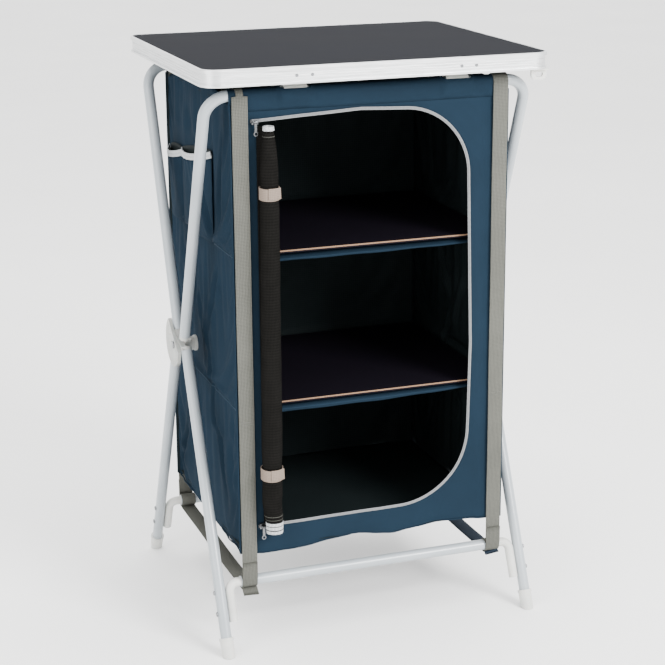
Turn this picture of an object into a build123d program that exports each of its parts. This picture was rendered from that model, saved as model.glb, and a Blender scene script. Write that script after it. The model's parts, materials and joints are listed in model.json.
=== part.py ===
from build123d import *
import math
import os

os.makedirs("parts", exist_ok=True)

# Overall size of the standing wardrobe in millimetres, front towards -Y
TOP_WIDTH = 600.0
TOP_DEPTH = 506.0
HEIGHT = 1000.0

# Folding frame tubes
TUBE_R = 9.5
TUBE_WALL = 1.5
BORE_R = TUBE_R - TUBE_WALL
LEG_X = 281.0
BEND_R = 39.0
BAR_Y = 194.0
BAR_DROP = 50.0
BAR_Z = HEIGHT - BAR_DROP
KNEE_Y = 20.0
KNEE_Z = 505.0
FOOT_Y = 251.0
CROSS_Z = 112.0
CROSS_HALF = 242.0
TUBE_FOOT_Z = 9.5

# Hub in the middle of each scissor
PIVOT_Z = 487.0
TUBE_END_R = 1.5 + 3 * TUBE_R
BLADE = TUBE_R - 0.5
BLADE_GAP = 0.4
BOSS_R = 15.0
ARM_ROOT_R = 11.0
COLLAR = 6.0
PLUG = 22.0
BARREL_R = 12.0
BARREL_IN = 255.0
RIM_R = 14.0
RIM = 5.0
PIN_R = 4.0
PIN_FIT = 0.15
CHEEK = 6.0
CHEEK_FIT = 0.4

# Plastic elbows, feet and their screws
ELBOW_R = BORE_R - 0.1
ELBOW_BEND = 14.0
ELBOW_END_Z = 52.0
FOOT_WALL = 1.0
FOOT_TIP_R = TUBE_R + FOOT_WALL
FOOT_FLANGE_R = FOOT_TIP_R + 2.0
FOOT_LONG = 34.0
SCREW_ZS = (100.0, 67.0)
SCREW_SHANK_R = 2.0
SCREW_HOLE_R = 2.1
SCREW_HEAD_R = 4.0
SCREW_HEAD = 2.0

# Table top and its extruded edge
PROFILE_H = 28.0
CORNER_R = 30.0
TOP_LIP_H = 6.4
LOW_LIP_H = 3.4
WEB_SET = 3.0
WEB = 2.0
LIP_IN = 4.0
SHELF_IN = 12.0
SHELF_T = 1.6
FLANGE_IN = 9.0
GROOVES = 4
GROOVE_PITCH = 4.2
GROOVE_W = 1.2
GROOVE_D = 0.7
PANEL_T = 5.2
PANEL_FIT = 0.15

# Clips that carry the table top on the two bars
CLIP_XS = (-133.0, 150.0)
CLIP_W = 40.0
CLIP_FIT = 0.3
CLIP_RING = 3.6
RIVET_HALF = 13.0
RIVET_R = 2.6

# Cloth box
CLOTH = 1.5
WALL_OUT = 7.3
WALL_Y = BAR_Y + WALL_OUT
WALL_W = 486.0
WALL_SWING = 1.0
SIDE_SWING = 3.2
SEAM = 0.3
SIDE_X = 240.0
CLOTH_TOP = BAR_Z - TUBE_R - 2.5
HEM_Z = 165.0
ROOF_DROP = 6.0
ROOF_Z = CLOTH_TOP - ROOF_DROP
FLOOR_Z = 172.0
SHELF_ZS = {"upper": 682.0, "lower": 420.0}
BOARD_T = 5.0
BOARD_W = 466.0
BOARD_GAP = 16.3
BOARD_D = 2 * (WALL_Y - BOARD_GAP)

# Webbing
STRAP_X = 228.0
STRAP_W = 27.0
STRAP_T = 1.6
STRAP_FIT = 0.3

# Door opening and its zip
TAPE_W = 6.0
TAPE_T = 1.2

ROW = {"front": -1.0, "rear": 1.0}
SIDE = {"left": -1.0, "right": 1.0}


def save(name, *bodies):
    export_step(Compound(children=list(bodies)), f"parts/{name}.step")


def leg_y(z):
    return FOOT_Y - (FOOT_Y - KNEE_Y) / KNEE_Z * z


CROSS_Y = leg_y(CROSS_Z)


def rod(start, end, radius, inner=0.0):
    a = Vector(*start)
    b = Vector(*end)
    plane = Plane(origin=a, z_dir=b - a)
    face = plane * Circle(radius)
    if inner:
        face = face - plane * Circle(inner)
    return extrude(face, amount=(b - a).length)


def bent(points, radius, outer, inner=0.0):
    # Straight runs joined by bends that are turned about their own centres
    corners = [Vector(*p) for p in points]
    body = None
    start = corners[0]
    for k in range(1, len(corners)):
        into = (corners[k] - corners[k - 1]).normalized()
        stop = corners[k]
        if k < len(corners) - 1:
            out = (corners[k + 1] - corners[k]).normalized()
            turn = math.acos(max(-1.0, min(1.0, into.dot(out))))
            stop = corners[k] - into * (radius * math.tan(turn / 2))
        run = rod(tuple(start), tuple(stop), outer, inner)
        body = run if body is None else body + run
        if k < len(corners) - 1:
            normal = into.cross(out).normalized()
            side = normal.cross(into).normalized()
            plane = Plane(origin=stop, z_dir=into)
            face = plane * Circle(outer)
            if inner:
                face = face - plane * Circle(inner)
            axis = Axis(tuple(stop + side * radius), tuple(normal))
            body = body + revolve(face, axis=axis, revolution_arc=math.degrees(turn))
            start = corners[k] + out * (radius * math.tan(turn / 2))
    return body


def near_pivot(far, knee):
    # Point on the tube line where it comes within TUBE_END_R of the pivot
    dy = knee[0] - far[0]
    dz = knee[1] - far[1]
    long = math.hypot(dy, dz)
    dy = dy / long
    dz = dz / long
    my = far[0]
    mz = far[1] - PIVOT_Z
    b = my * dy + mz * dz
    c = my * my + mz * mz - TUBE_END_R ** 2
    t = -b - math.sqrt(b * b - c)
    return far[0] + dy * t, far[1] + dz * t, dy, dz


def upper_end(row):
    return near_pivot((row * BAR_Y, BAR_Z), (row * KNEE_Y, KNEE_Z))


def lower_end(row):
    return near_pivot((row * FOOT_Y, 0.0), (row * KNEE_Y, KNEE_Z))


def screw_spots(row):
    return [(row * leg_y(z), z) for z in SCREW_ZS]


def cut_screws(body, row, side, radius, depth_x):
    for y, z in screw_spots(row):
        body = body - rod((side * (LEG_X + 20), y, z), (side * depth_x, y, z), radius)
    return body


# The two bent top frames
for name, row in ROW.items():
    y, z, dy, dz = upper_end(row)
    points = [
        (-LEG_X, y, z),
        (-LEG_X, row * BAR_Y, BAR_Z),
        (LEG_X, row * BAR_Y, BAR_Z),
        (LEG_X, y, z),
    ]
    save(f"{name}_top_frame", bent(points, BEND_R, TUBE_R, BORE_R))

# The four lower legs
for name, row in ROW.items():
    for hand, side in SIDE.items():
        y, z, dy, dz = lower_end(row)
        leg = rod(
            (side * LEG_X, y, z),
            (side * LEG_X, row * leg_y(TUBE_FOOT_Z), TUBE_FOOT_Z),
            TUBE_R,
            BORE_R,
        )
        leg = cut_screws(leg, row, side, SCREW_HOLE_R, LEG_X - 12)
        save(f"{name}_lower_leg_{hand}", leg)

# The two crossbars
for name, row in ROW.items():
    bar = rod(
        (-CROSS_HALF, row * CROSS_Y, CROSS_Z),
        (CROSS_HALF, row * CROSS_Y, CROSS_Z),
        TUBE_R,
        BORE_R,
    )
    save(f"{name}_crossbar", bar)

# Elbows that carry each crossbar down along its legs
ELBOW_X = LEG_X - TUBE_R - ELBOW_R - 0.02
for name, row in ROW.items():
    elbows = []
    for side in SIDE.values():
        points = [
            (side * (CROSS_HALF - 20), row * CROSS_Y, CROSS_Z),
            (side * ELBOW_X, row * CROSS_Y, CROSS_Z),
            (side * ELBOW_X, row * leg_y(ELBOW_END_Z), ELBOW_END_Z),
        ]
        elbow = bent(points, ELBOW_BEND, ELBOW_R)
        elbow = cut_screws(elbow, row, side, SCREW_HOLE_R, ELBOW_X + 1)
        elbows.append(elbow)
    save(f"{name}_elbows", *elbows)

# Foot caps, cut flat where they stand
for name, row in ROW.items():
    feet = []
    for side in SIDE.values():
        y0 = row * leg_y(TUBE_FOOT_Z)
        y1 = row * leg_y(TUBE_FOOT_Z + 20)
        axis = Vector(0, y1 - y0, 20).normalized()
        base = Vector(side * LEG_X, row * leg_y(-6.0), -6.0)
        plane = Plane(origin=base, z_dir=axis)
        cap = plane * loft([
            Circle(FOOT_TIP_R).face(),
            (Pos(0, 0, FOOT_LONG) * Circle(FOOT_TIP_R + 1.3)).face(),
        ])
        cap = cap + plane * Pos(0, 0, FOOT_LONG) * extrude(Circle(FOOT_FLANGE_R), amount=4.5)
        tube_start = Vector(side * LEG_X, y0, TUBE_FOOT_Z)
        bore = extrude(Plane(origin=tube_start, z_dir=axis) * Circle(TUBE_R + 0.02), amount=60)
        cap = cap - bore
        cap = cap & (Pos(0, 0, 50) * Box(900, 900, 100))
        feet.append(cap)
    save(f"{name}_feet", *feet)

# Screws through leg and elbow
for name, row in ROW.items():
    screws = []
    for side in SIDE.values():
        for y, z in screw_spots(row):
            outer = side * (LEG_X + TUBE_R)
            shank = rod((side * (ELBOW_X + 1.5), y, z), (outer, y, z), SCREW_SHANK_R)
            head = rod((outer, y, z), (outer + side * SCREW_HEAD, y, z), SCREW_HEAD_R)
            head = chamfer(head.edges().sort_by(Axis.X)[-1 if side > 0 else 0], 0.9)
            screws.append(shank + head)
    save(f"{name}_leg_screws", *screws)


# Hub halves: a flat blade, two tube plugs and a boss on the pivot
def arm(y, z, dy, dz):
    root = Pos(0, PIVOT_Z) * Circle(ARM_ROOT_R)
    ny = -dz
    nz = dy
    e1 = (y + ny * TUBE_R, z + nz * TUBE_R)
    e2 = (y - ny * TUBE_R, z - nz * TUBE_R)
    return make_hull([*root.edges(), Line(e1, e2)])


def hub(side, rows, inner):
    lo = LEG_X - BLADE_GAP / 2 - BLADE if inner else LEG_X + BLADE_GAP / 2
    ends = [upper_end(rows[0]), lower_end(rows[1])]
    outline = Pos(0, PIVOT_Z) * Circle(BOSS_R)
    for end in ends:
        outline = outline + arm(*end)
    start = lo if side > 0 else -lo - BLADE
    body = extrude(Plane.YZ.offset(start) * outline, amount=BLADE)
    for y, z, dy, dz in ends:
        tip = (side * LEG_X, y, z)
        back = (side * LEG_X, y + dy * COLLAR, z + dz * COLLAR)
        deep = (side * LEG_X, y - dy * PLUG, z - dz * PLUG)
        body = body + rod(back, tip, TUBE_R)
        body = body + rod(tip, deep, BORE_R - 0.05)
    return body


PIVOT_BORE = PIN_R + PIN_FIT
OUTER_FACE = LEG_X + BLADE_GAP / 2 + BLADE
for hand, side in SIDE.items():
    body = hub(side, (-1.0, 1.0), True)
    blade_in = LEG_X - BLADE_GAP / 2 - BLADE
    body = body + rod((side * blade_in, 0, PIVOT_Z), (side * BARREL_IN, 0, PIVOT_Z), BARREL_R)
    rim = rod((side * (BARREL_IN + RIM), 0, PIVOT_Z), (side * BARREL_IN, 0, PIVOT_Z), RIM_R)
    rim = chamfer(rim.edges().filter_by(GeomType.CIRCLE), 0.9)
    body = body + rim
    body = body - rod((side * 240, 0, PIVOT_Z), (side * 300, 0, PIVOT_Z), PIVOT_BORE)
    save(f"hub_inner_{hand}", body)

# Crescent cheek on the outer hub half
CRESCENT = [(32.0, 527.0), (52.0, 483.0), (-24.0, 461.0), (-31.0, 481.0), (5.0, 505.0)]
for hand, side in SIDE.items():
    body = hub(side, (1.0, -1.0), False)
    (ty, tz), (ry, rz), (by, bz), (fy, fz), (my, mz) = CRESCENT
    edge = ThreePointArc((ty, tz), (ry, rz), (by, bz))
    edge = edge + Line((by, bz), (fy, fz))
    edge = edge + ThreePointArc((fy, fz), (my, mz), (ty, tz))
    cheek = make_face(edge)
    start = OUTER_FACE + CHEEK_FIT
    first = start if side > 0 else -start - CHEEK
    plate = extrude(Plane.YZ.offset(first) * cheek, amount=CHEEK)
    for k in range(5):
        f = (k + 0.9) / 5.6
        py = fy + (ty - fy) * f + 11 * math.sin(math.pi * f)
        pz = fz + (tz - fz) * f - 15 * math.sin(math.pi * f)
        x = side * (start + CHEEK)
        plate = plate - Pos(x, py, pz) * Rot(X=math.degrees(0.9 * f)) * Box(3.0, 2.2, 4.6)
    body = body + plate
    body = body + rod(
        (side * (OUTER_FACE - 1), 0, PIVOT_Z), (side * (start + 1), 0, PIVOT_Z), BOSS_R - 1
    )
    body = body - rod((side * 240, 0, PIVOT_Z), (side * 310, 0, PIVOT_Z), PIVOT_BORE)
    save(f"hub_outer_{hand}", body)

pins = []
for side in SIDE.values():
    end = side * (OUTER_FACE + CHEEK_FIT + CHEEK)
    pin = rod((side * (BARREL_IN - 0.2), 0, PIVOT_Z), (end, 0, PIVOT_Z), PIN_R)
    for x, way in ((side * (BARREL_IN - 0.2), -side), (end + side * 0.2, side)):
        head = rod((x, 0, PIVOT_Z), (x + way * 1.6, 0, PIVOT_Z), PIN_R + 2.4)
        pin = pin + head
    pin = pin + rod((end, 0, PIVOT_Z), (end + side * 0.5, 0, PIVOT_Z), PIN_R)
    pins.append(pin)
save("hub_pins", *pins)

# Table top: extruded edge round a flat panel
base = HEIGHT - PROFILE_H
panel_z = HEIGHT - 0.8 - PANEL_T
outline = [
    (0.0, HEIGHT - 0.8),
    (0.8, HEIGHT),
    (LIP_IN, HEIGHT),
    (LIP_IN, panel_z),
    (SHELF_IN, panel_z),
    (SHELF_IN, panel_z - SHELF_T),
    (WEB_SET + WEB, panel_z - SHELF_T),
    (WEB_SET + WEB, base + 1.6),
    (FLANGE_IN, base + 1.6),
    (FLANGE_IN, base),
    (0.5, base),
    (0.5, base + LOW_LIP_H),
    (WEB_SET, base + LOW_LIP_H),
]
for k in range(GROOVES):
    g = base + LOW_LIP_H + 1.6 + k * GROOVE_PITCH
    outline.append((WEB_SET, g))
    outline.append((WEB_SET + GROOVE_D, g))
    outline.append((WEB_SET + GROOVE_D, g + GROOVE_W))
    outline.append((WEB_SET, g + GROOVE_W))
outline.append((WEB_SET, HEIGHT - TOP_LIP_H))
outline.append((0.0, HEIGHT - TOP_LIP_H))


def rounded(inset, z, height):
    w = TOP_WIDTH - 2 * inset
    d = TOP_DEPTH - 2 * inset
    r = max(CORNER_R - inset, 0.5)
    return extrude(Pos(0, 0, z) * RectangleRounded(w, d, r), amount=height)


section = make_face(Polyline(*[(-TOP_DEPTH / 2 + d, z) for d, z in outline], close=True))
track = (Pos(0, 0, 0) * RectangleRounded(TOP_WIDTH, TOP_DEPTH, CORNER_R)).face().outer_wire()
profile = sweep(Plane.YZ * section, path=track)

# Front edge rivets sit in holes through the web
rivets = []
for cx in CLIP_XS:
    for way in (-1, 1):
        x = cx + way * RIVET_HALF
        z = base + 13.0
        y_web = -TOP_DEPTH / 2 + WEB_SET
        profile = profile - rod((x, y_web - 4, z), (x, y_web + WEB + 1, z), RIVET_R - 0.8)
        shank = rod((x, y_web, z), (x, y_web + WEB + 3.4, z), RIVET_R - 0.9)
        head = rod((x, y_web, z), (x, y_web - 1.4, z), RIVET_R)
        head = chamfer(head.edges().sort_by(Axis.Y)[0], 0.8)
        rivets.append(shank + head)
save("edge_profile", profile)
save("edge_rivets", *rivets)
save("table_panel", rounded(LIP_IN + PANEL_FIT, panel_z, PANEL_T))

# Front clips snap round the bar, rear saddles only rest on it
plate_z = panel_z - SHELF_T - 3.0
clips = []
saddles = []
for cx in CLIP_XS:
    for row in ROW.values():
        y_web = row * (TOP_DEPTH / 2 - WEB_SET - WEB - 0.1)
        y_in = row * (BAR_Y - 14)
        plate = Pos(cx, (y_web + y_in) / 2, plate_z + 1.4) * Box(CLIP_W, abs(y_web - y_in), 2.8)
        pad = Pos(cx, row * (TOP_DEPTH / 2 - 40), panel_z - 1.025) * Box(CLIP_W, 46, 1.95)
        flange = Pos(cx, y_web - row * 1.2, plate_z - 6.5) * Box(CLIP_W, 2.4, 16)
        web = Pos(cx, row * BAR_Y, (plate_z + BAR_Z + TUBE_R + 1) / 2)
        web = web * Box(CLIP_W, 9, plate_z - BAR_Z - TUBE_R - 1 + 1)
        r_in = TUBE_R + CLIP_FIT
        ring = rod(
            (cx - CLIP_W / 2, row * BAR_Y, BAR_Z),
            (cx + CLIP_W / 2, row * BAR_Y, BAR_Z),
            r_in + CLIP_RING,
        )
        clip = plate + pad + flange + web + ring
        clip = clip - rod(
            (cx - CLIP_W, row * BAR_Y, BAR_Z), (cx + CLIP_W, row * BAR_Y, BAR_Z), r_in
        )
        if row < 0:
            mouth = Pos(cx, row * BAR_Y, BAR_Z - 12) * Box(CLIP_W * 2, 15, 16)
            clip = clip - mouth
            for way in (-1, 1):
                x = cx + way * RIVET_HALF
                z = base + 13.0
                clip = clip - rod((x, y_web - 5, z), (x, y_web + 6, z), RIVET_R - 0.8)
            clips.append(clip)
        else:
            keep = Pos(cx, row * BAR_Y, BAR_Z + 6.9 + 50) * Box(CLIP_W * 3, 300, 100)
            clip = clip & keep
            saddles.append(clip)
save("front_clips", *clips)
save("rear_saddles", *saddles)

# Small hook hanging below the front right corner
hook_y = -TOP_DEPTH / 2 + 17.0
hook = Pos(282, hook_y, HEIGHT - 37.5) * Box(28, 4, 19)
hook = fillet(hook.edges().filter_by(Axis.Y).sort_by(Axis.Z)[:2], 9)
slot = Pos(282, hook_y, HEIGHT - 38.0) * Box(14, 10, 8)
slot = fillet(slot.edges().filter_by(Axis.Y), 3.5)
hook = hook - slot
tab = Pos(282, hook_y - 5, HEIGHT - 29.0) * Box(28, 12, 1.9)
save("side_hook", hook + tab)


# Cloth walls: a strip of shallow folds, each an arc, carried down the wall
def strip(length, swing, folds, thick):
    step = length / folds
    edge = None
    for face in (-thick / 2, thick / 2):
        for k in range(folds):
            x = -length / 2 + k * step
            peak = swing * (1 if k % 2 else -1)
            piece = ThreePointArc((x, face), (x + step / 2, face + peak), (x + step, face))
            edge = piece if edge is None else edge + piece
    for x in (-length / 2, length / 2):
        edge = edge + Line((x, -thick / 2), (x, thick / 2))
    return make_face(edge)


def door_outline():
    pts = [(-210, 908.3), (-21, 918), (170, 909), (180, 500), (174, 216), (-210, 212)]
    face = make_face(Polyline(*pts, close=True))
    corner = face.vertices().sort_by_distance((170, 909, 0))[0]
    face = fillet(corner, 118)
    corner = face.vertices().sort_by_distance((174, 216, 0))[0]
    return fillet(corner, 130)


def hem_outline():
    pts = [(-243, 166), (-207, 162), (-149, 163), (-84, 168), (-34, 174), (38, 165)]
    pts = pts + [(57, 167), (118, 172), (179, 172), (212, 167), (243, 166)]
    edge = Spline(*pts)
    ring = edge + Polyline((243, 166), (243, CLOTH_TOP), (-243, CLOTH_TOP), (-243, 166))
    return make_face(ring)


def lean(body, row):
    # Tilts a wall from upright to the line from top bar to crossbar
    tilt = math.degrees(math.atan2(CROSS_Y - BAR_Y, BAR_Z - CROSS_Z))
    move = Pos(0, row * BAR_Y, BAR_Z) * Rot(X=row * tilt) * Pos(0, -row * BAR_Y, -BAR_Z)
    return move * body


wall = extrude(Pos(0, 0, HEM_Z - 10) * strip(WALL_W, WALL_SWING, 5, CLOTH), amount=CLOTH_TOP + 10 - HEM_Z)
front = Pos(0, -WALL_Y, 0) * wall
front = front & extrude(Plane.XZ.offset(WALL_Y - 20) * hem_outline(), amount=40)
opening = door_outline()
front = front - extrude(Plane.XZ.offset(WALL_Y - 20) * opening, amount=40)
save("front_panel", lean(front, -1))
save("back_panel", lean(Pos(0, WALL_Y, 0) * wall, 1))

tape_y = WALL_Y + CLOTH / 2 + WALL_SWING + SEAM
ring = offset(opening, TAPE_W / 2) - offset(opening, -TAPE_W / 2)
ring = ring - Pos(-256.9, 560) * Rectangle(100, 900)
save("zip_tape", lean(extrude(Plane.XZ.offset(tape_y) * ring, amount=TAPE_T), -1))

# Rolled door tied up beside the opening
roll_y = -(tape_y + TAPE_T + 19.5)
ROLL_X = -186.0
ROLL = [
    (217, 15.0),
    (262, 18.0),
    (314, 17.6),
    (420, 18.0),
    (600, 16.4),
    (796, 16.0),
    (860, 14.0),
    (898, 9.0),
]
TIES = {"lower": 293.0, "upper": 773.0}
TIE_H = 22.0


def roll_at(z):
    for (z0, r0), (z1, r1) in zip(ROLL, ROLL[1:]):
        if z0 <= z <= z1:
            return r0 + (r1 - r0) * (z - z0) / (z1 - z0)
    return ROLL[-1][1]


points = [(0, ROLL[0][0])] + [(r, z) for z, r in ROLL] + [(0, ROLL[-1][0])]
roll = revolve(Plane.XZ * make_face(Polyline(*points, close=True)), axis=Axis.Z)
roll = Pos(ROLL_X, roll_y, 0) * roll
flap_y = -(tape_y + TAPE_T / 2)
roll = roll + Pos(-204.0, flap_y, 538) * Box(19, TAPE_T, 624)
web = Pos(-196.0, (flap_y + roll_y) / 2, 538) * Box(4, abs(roll_y - flap_y), 624)
for z in TIES.values():
    web = web - Pos(-196.0, flap_y - 15.8, z + TIE_H / 2) * Box(60, 30, TIE_H + 2)
roll = roll + web
save("mesh_door_roll", lean(roll, -1))
for name, z in TIES.items():
    r_in = max(roll_at(z), roll_at(z + TIE_H)) + SEAM
    band = Pos(ROLL_X, roll_y, z) * (Circle(r_in + 1.2) - Circle(r_in))
    band = extrude(band, amount=TIE_H)
    bow = Pos(ROLL_X + 4, roll_y - r_in - 2.0, z + TIE_H / 2) * Box(20, 2.0, TIE_H - 1)
    save(f"roll_tie_{name}", lean(band + bow, -1))


# Webbing straps sewn round the top bars, with loops of their own on the crossbars
STRAP_IN = TUBE_R + STRAP_FIT
STRAP_OUT = STRAP_IN + STRAP_T
STRAP_END_Z = CROSS_Z + 13.0
LOOP_TAIL = 38.0
STRAP_TUCK = 0.5
STRAP_OVER = 3.0


def prism(points, x, width):
    face = make_face(Polyline(*points, close=True))
    return extrude(Plane.YZ.offset(x - width / 2) * face, amount=width)


def strap(row, side, loop_w):
    x = side * STRAP_X
    f = (BAR_Z - STRAP_END_Z) / (BAR_Z - CROSS_Z)
    y_top = BAR_Y + STRAP_IN
    y_end = y_top + (CROSS_Y - STRAP_TUCK - BAR_Y) * f
    points = [
        (row * y_top, BAR_Z + STRAP_OVER),
        (row * (y_top + STRAP_T), BAR_Z + STRAP_OVER),
        (row * (y_end + STRAP_T), STRAP_END_Z),
        (row * y_end, STRAP_END_Z),
    ]
    ring = rod(
        (x - loop_w / 2, row * BAR_Y, BAR_Z),
        (x + loop_w / 2, row * BAR_Y, BAR_Z),
        STRAP_OUT,
        STRAP_IN,
    )
    return prism(points, x, STRAP_W) + ring


def cross_loop(row, side):
    x = side * STRAP_X
    ring = rod(
        (x - STRAP_W / 2, row * CROSS_Y, CROSS_Z),
        (x + STRAP_W / 2, row * CROSS_Y, CROSS_Z),
        STRAP_OUT,
        STRAP_IN,
    )
    y = row * (CROSS_Y - STRAP_TUCK + STRAP_OUT + STRAP_T / 2 + 0.25)
    tail = Pos(x, y, CROSS_Z + LOOP_TAIL / 2 - 3) * Box(STRAP_W, STRAP_T, LOOP_TAIL + 6)
    return ring + tail


save("front_strap_left", strap(-1, -1, 10.0))
save("front_strap_right", strap(-1, 1, STRAP_W))
save("rear_straps", strap(1, -1, STRAP_W), strap(1, 1, STRAP_W))
for name, row in ROW.items():
    save(f"{name}_crossbar_loops", cross_loop(row, -1), cross_loop(row, 1))

# Flat straps drawn under the loops from crossbar to crossbar
depth_bands = []
depth_z = CROSS_Z - STRAP_OUT - STRAP_T / 2 - 0.15
for side in SIDE.values():
    depth_bands.append(Pos(side * STRAP_X, 0, depth_z) * Box(STRAP_W, 2 * CROSS_Y, STRAP_T))
save("depth_straps", *depth_bands)

# Side walls, roof and floor of the cloth box, as deep as the leaning walls leave room for
lean_in = (CROSS_Y - BAR_Y) * (BAR_Z - HEM_Z) / (BAR_Z - CROSS_Z)
wall_near = WALL_Y + min(0.0, lean_in)
side_len = 2 * (wall_near - CLOTH / 2 - WALL_SWING - 2 * SEAM)
side_face = strip(side_len, SIDE_SWING, 9, CLOTH)
side_wall = extrude(Pos(0, 0, HEM_Z) * side_face, amount=CLOTH_TOP - 4 - HEM_Z)
for hand, side in SIDE.items():
    save(f"side_panel_{hand}", Pos(side * SIDE_X, 0, 0) * Rot(Z=90) * side_wall)
inner_w = 2 * (SIDE_X - SIDE_SWING - CLOTH / 2 - SEAM)
save("top_panel", Pos(0, 0, ROOF_Z) * Box(inner_w, side_len, CLOTH))
save("bottom_panel", Pos(0, 0, FLOOR_Z) * Box(inner_w, side_len, CLOTH))

# Shelf sleeves with the boards lying in them
for name, z in SHELF_ZS.items():
    sleeve = Pos(0, 0, z - 1.2) * Box(inner_w, BOARD_D + 8, 1.4)
    for row in ROW.values():
        flap = Pos(0, row * (BOARD_D / 2 + 3.3), z - 6.0) * Box(inner_w, 1.4, 11.0)
        sleeve = sleeve + flap
    save(f"shelf_sleeve_{name}", sleeve)
    board = Pos(0, 0, z + BOARD_T / 2) * Box(BOARD_W, BOARD_D, BOARD_T)
    board = fillet(board.edges().filter_by(Axis.Z), 6)
    save(f"shelf_board_{name}", board)


# Open pouches on the left side wall, each a bulging cloth with an elastic rim
POCKET_Z = 686.0
POCKET_LOW = 8.0
POCKET_HIGH = 26.0
POCKET_LOFT_Z = 860.0
POCKET_T = 1.4
RIM_H = 13.0
POCKET_INSET = 11.3
POCKET_END = WALL_Y - POCKET_INSET
POCKETS = {
    "rear": (POCKET_END - 83.0, POCKET_END, 808.0, 800.0),
    "front": (POCKET_END - 274.0, POCKET_END - 87.0, 840.0, 806.0),
}


def pouch_ring(x0, y0, y1, bulge):
    mid = (y0 + y1) / 2
    edge = ThreePointArc((x0, y0), (x0 - bulge, mid), (x0, y1))
    edge = edge + Line((x0, y1), (x0, y1 - 2 * POCKET_T))
    inner = ThreePointArc(
        (x0, y1 - 2 * POCKET_T), (x0 - bulge + POCKET_T, mid), (x0, y0 + 2 * POCKET_T)
    )
    return make_face(edge + inner + Line((x0, y0 + 2 * POCKET_T), (x0, y0)))


for name, (y0, y1, za, zb) in POCKETS.items():
    x0 = -SIDE_X - SIDE_SWING - CLOTH / 2 - 0.1
    low = pouch_ring(x0, y0, y1, POCKET_LOW).face()
    high = (Pos(0, 0, POCKET_LOFT_Z - POCKET_Z) * pouch_ring(x0, y0, y1, POCKET_HIGH)).face()
    shell = Pos(0, 0, POCKET_Z) * loft([low, high])
    arc = ThreePointArc((x0, y0), (x0 - POCKET_LOW, (y0 + y1) / 2), (x0, y1))
    base = extrude(make_face(arc + Line((x0, y0), (x0, y1))), amount=POCKET_T)
    shell = shell + Pos(0, 0, POCKET_Z) * base
    tilt = math.degrees(math.atan2(zb - za, y1 - y0))
    mid = Pos(-SIDE_X, (y0 + y1) / 2, (za + zb) / 2) * Rot(X=tilt)
    shell = shell - mid * Pos(0, 0, 100) * Box(200, 400, 200)
    rim = shell & (mid * Pos(0, 0, -RIM_H / 2) * Box(200, 400, RIM_H))
    save(f"side_pocket_{name}", shell - mid * Pos(0, 0, 100 - RIM_H) * Box(200, 400, 200))
    save(f"pocket_rim_{name}", rim)

# Zip sliders and their pull tabs
PULL_LONG = 23.0
PULL_RING = 3.9
SLIDER = {"upper": (-203.0, 908.7), "lower": (-203.0, 212.0)}
for name, (x, edge_z) in SLIDER.items():
    way = -1 if name == "upper" else 1
    y_front = -(tape_y + TAPE_T)
    z = edge_z + way * 1.0
    front_plate = Pos(x, y_front - 0.95, z) * Box(11, 1.5, 9)
    back_plate = Pos(x, -tape_y + 0.85, edge_z + way * 3.2) * Box(11, 1.3, 4.4)
    y_mid = -(tape_y + TAPE_T / 2)
    nose = Pos(x, y_mid, edge_z + way * (TAPE_W / 2 + 1.6)) * Box(11, TAPE_T + 2.6, 2.0)
    slider = front_plate + back_plate + nose
    bail_y = y_front - 4.6
    for side in (-1, 1):
        slider = slider + Pos(x + side * 3.2, y_front - 3.4, z) * Box(1.4, 4.4, 3.0)
    slider = slider + rod((x - 3.9, bail_y, z), (x + 3.9, bail_y, z), 0.9)
    save(f"zip_slider_{name}", lean(slider, -1))
    eye = rod((x - 2.1, bail_y, z), (x + 2.1, bail_y, z), 2.3)
    tab = Pos(x, bail_y - 0.4, z - 9.0) * Box(4.2, 1.2, 15)
    y0 = bail_y - 0.4 - 0.6
    ring_z = z - PULL_LONG + PULL_RING
    tab = tab + rod((x, y0, ring_z), (x, y0 + 1.2, ring_z), PULL_RING)
    tab = tab - rod((x, y0 - 1, ring_z), (x, y0 + 3, ring_z), PULL_RING - 1.7)
    pull = (eye + tab) - rod((x - 5, bail_y, z), (x + 5, bail_y, z), 1.15)
    save(f"pull_tab_{name}", lean(pull, -1))
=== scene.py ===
# %% [markdown]
# # A folding camping wardrobe
# The real one is a cross-legged tube frame that carries a hard table top, with a cloth box hung between its bars.
# The hard pieces arrive from the frame file in their true places, so this lesson gives them finishes and then
# sews the soft pieces: walls, zip, rolled mesh door, pockets, sleeves and webbing.

# %% Load the frame
import json
import math
import bmesh
import bpy
import numpy as np
from mathutils import Matrix, Vector, noise


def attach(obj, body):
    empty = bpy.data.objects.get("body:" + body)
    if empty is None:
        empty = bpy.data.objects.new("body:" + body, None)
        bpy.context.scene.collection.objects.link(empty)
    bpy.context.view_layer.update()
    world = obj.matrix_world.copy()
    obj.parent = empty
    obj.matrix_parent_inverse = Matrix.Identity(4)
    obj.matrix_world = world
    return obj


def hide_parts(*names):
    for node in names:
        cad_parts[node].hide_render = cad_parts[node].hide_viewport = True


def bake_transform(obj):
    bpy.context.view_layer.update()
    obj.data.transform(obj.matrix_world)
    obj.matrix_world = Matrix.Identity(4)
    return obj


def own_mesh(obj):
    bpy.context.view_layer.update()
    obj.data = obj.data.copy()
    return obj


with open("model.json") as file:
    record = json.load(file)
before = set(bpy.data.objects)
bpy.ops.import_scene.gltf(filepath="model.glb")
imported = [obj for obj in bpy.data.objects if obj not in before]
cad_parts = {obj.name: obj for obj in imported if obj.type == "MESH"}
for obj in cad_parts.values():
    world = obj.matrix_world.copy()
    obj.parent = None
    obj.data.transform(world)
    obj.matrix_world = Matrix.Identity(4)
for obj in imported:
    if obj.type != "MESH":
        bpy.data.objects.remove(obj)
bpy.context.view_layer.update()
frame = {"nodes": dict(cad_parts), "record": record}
MM = 0.001

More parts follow.
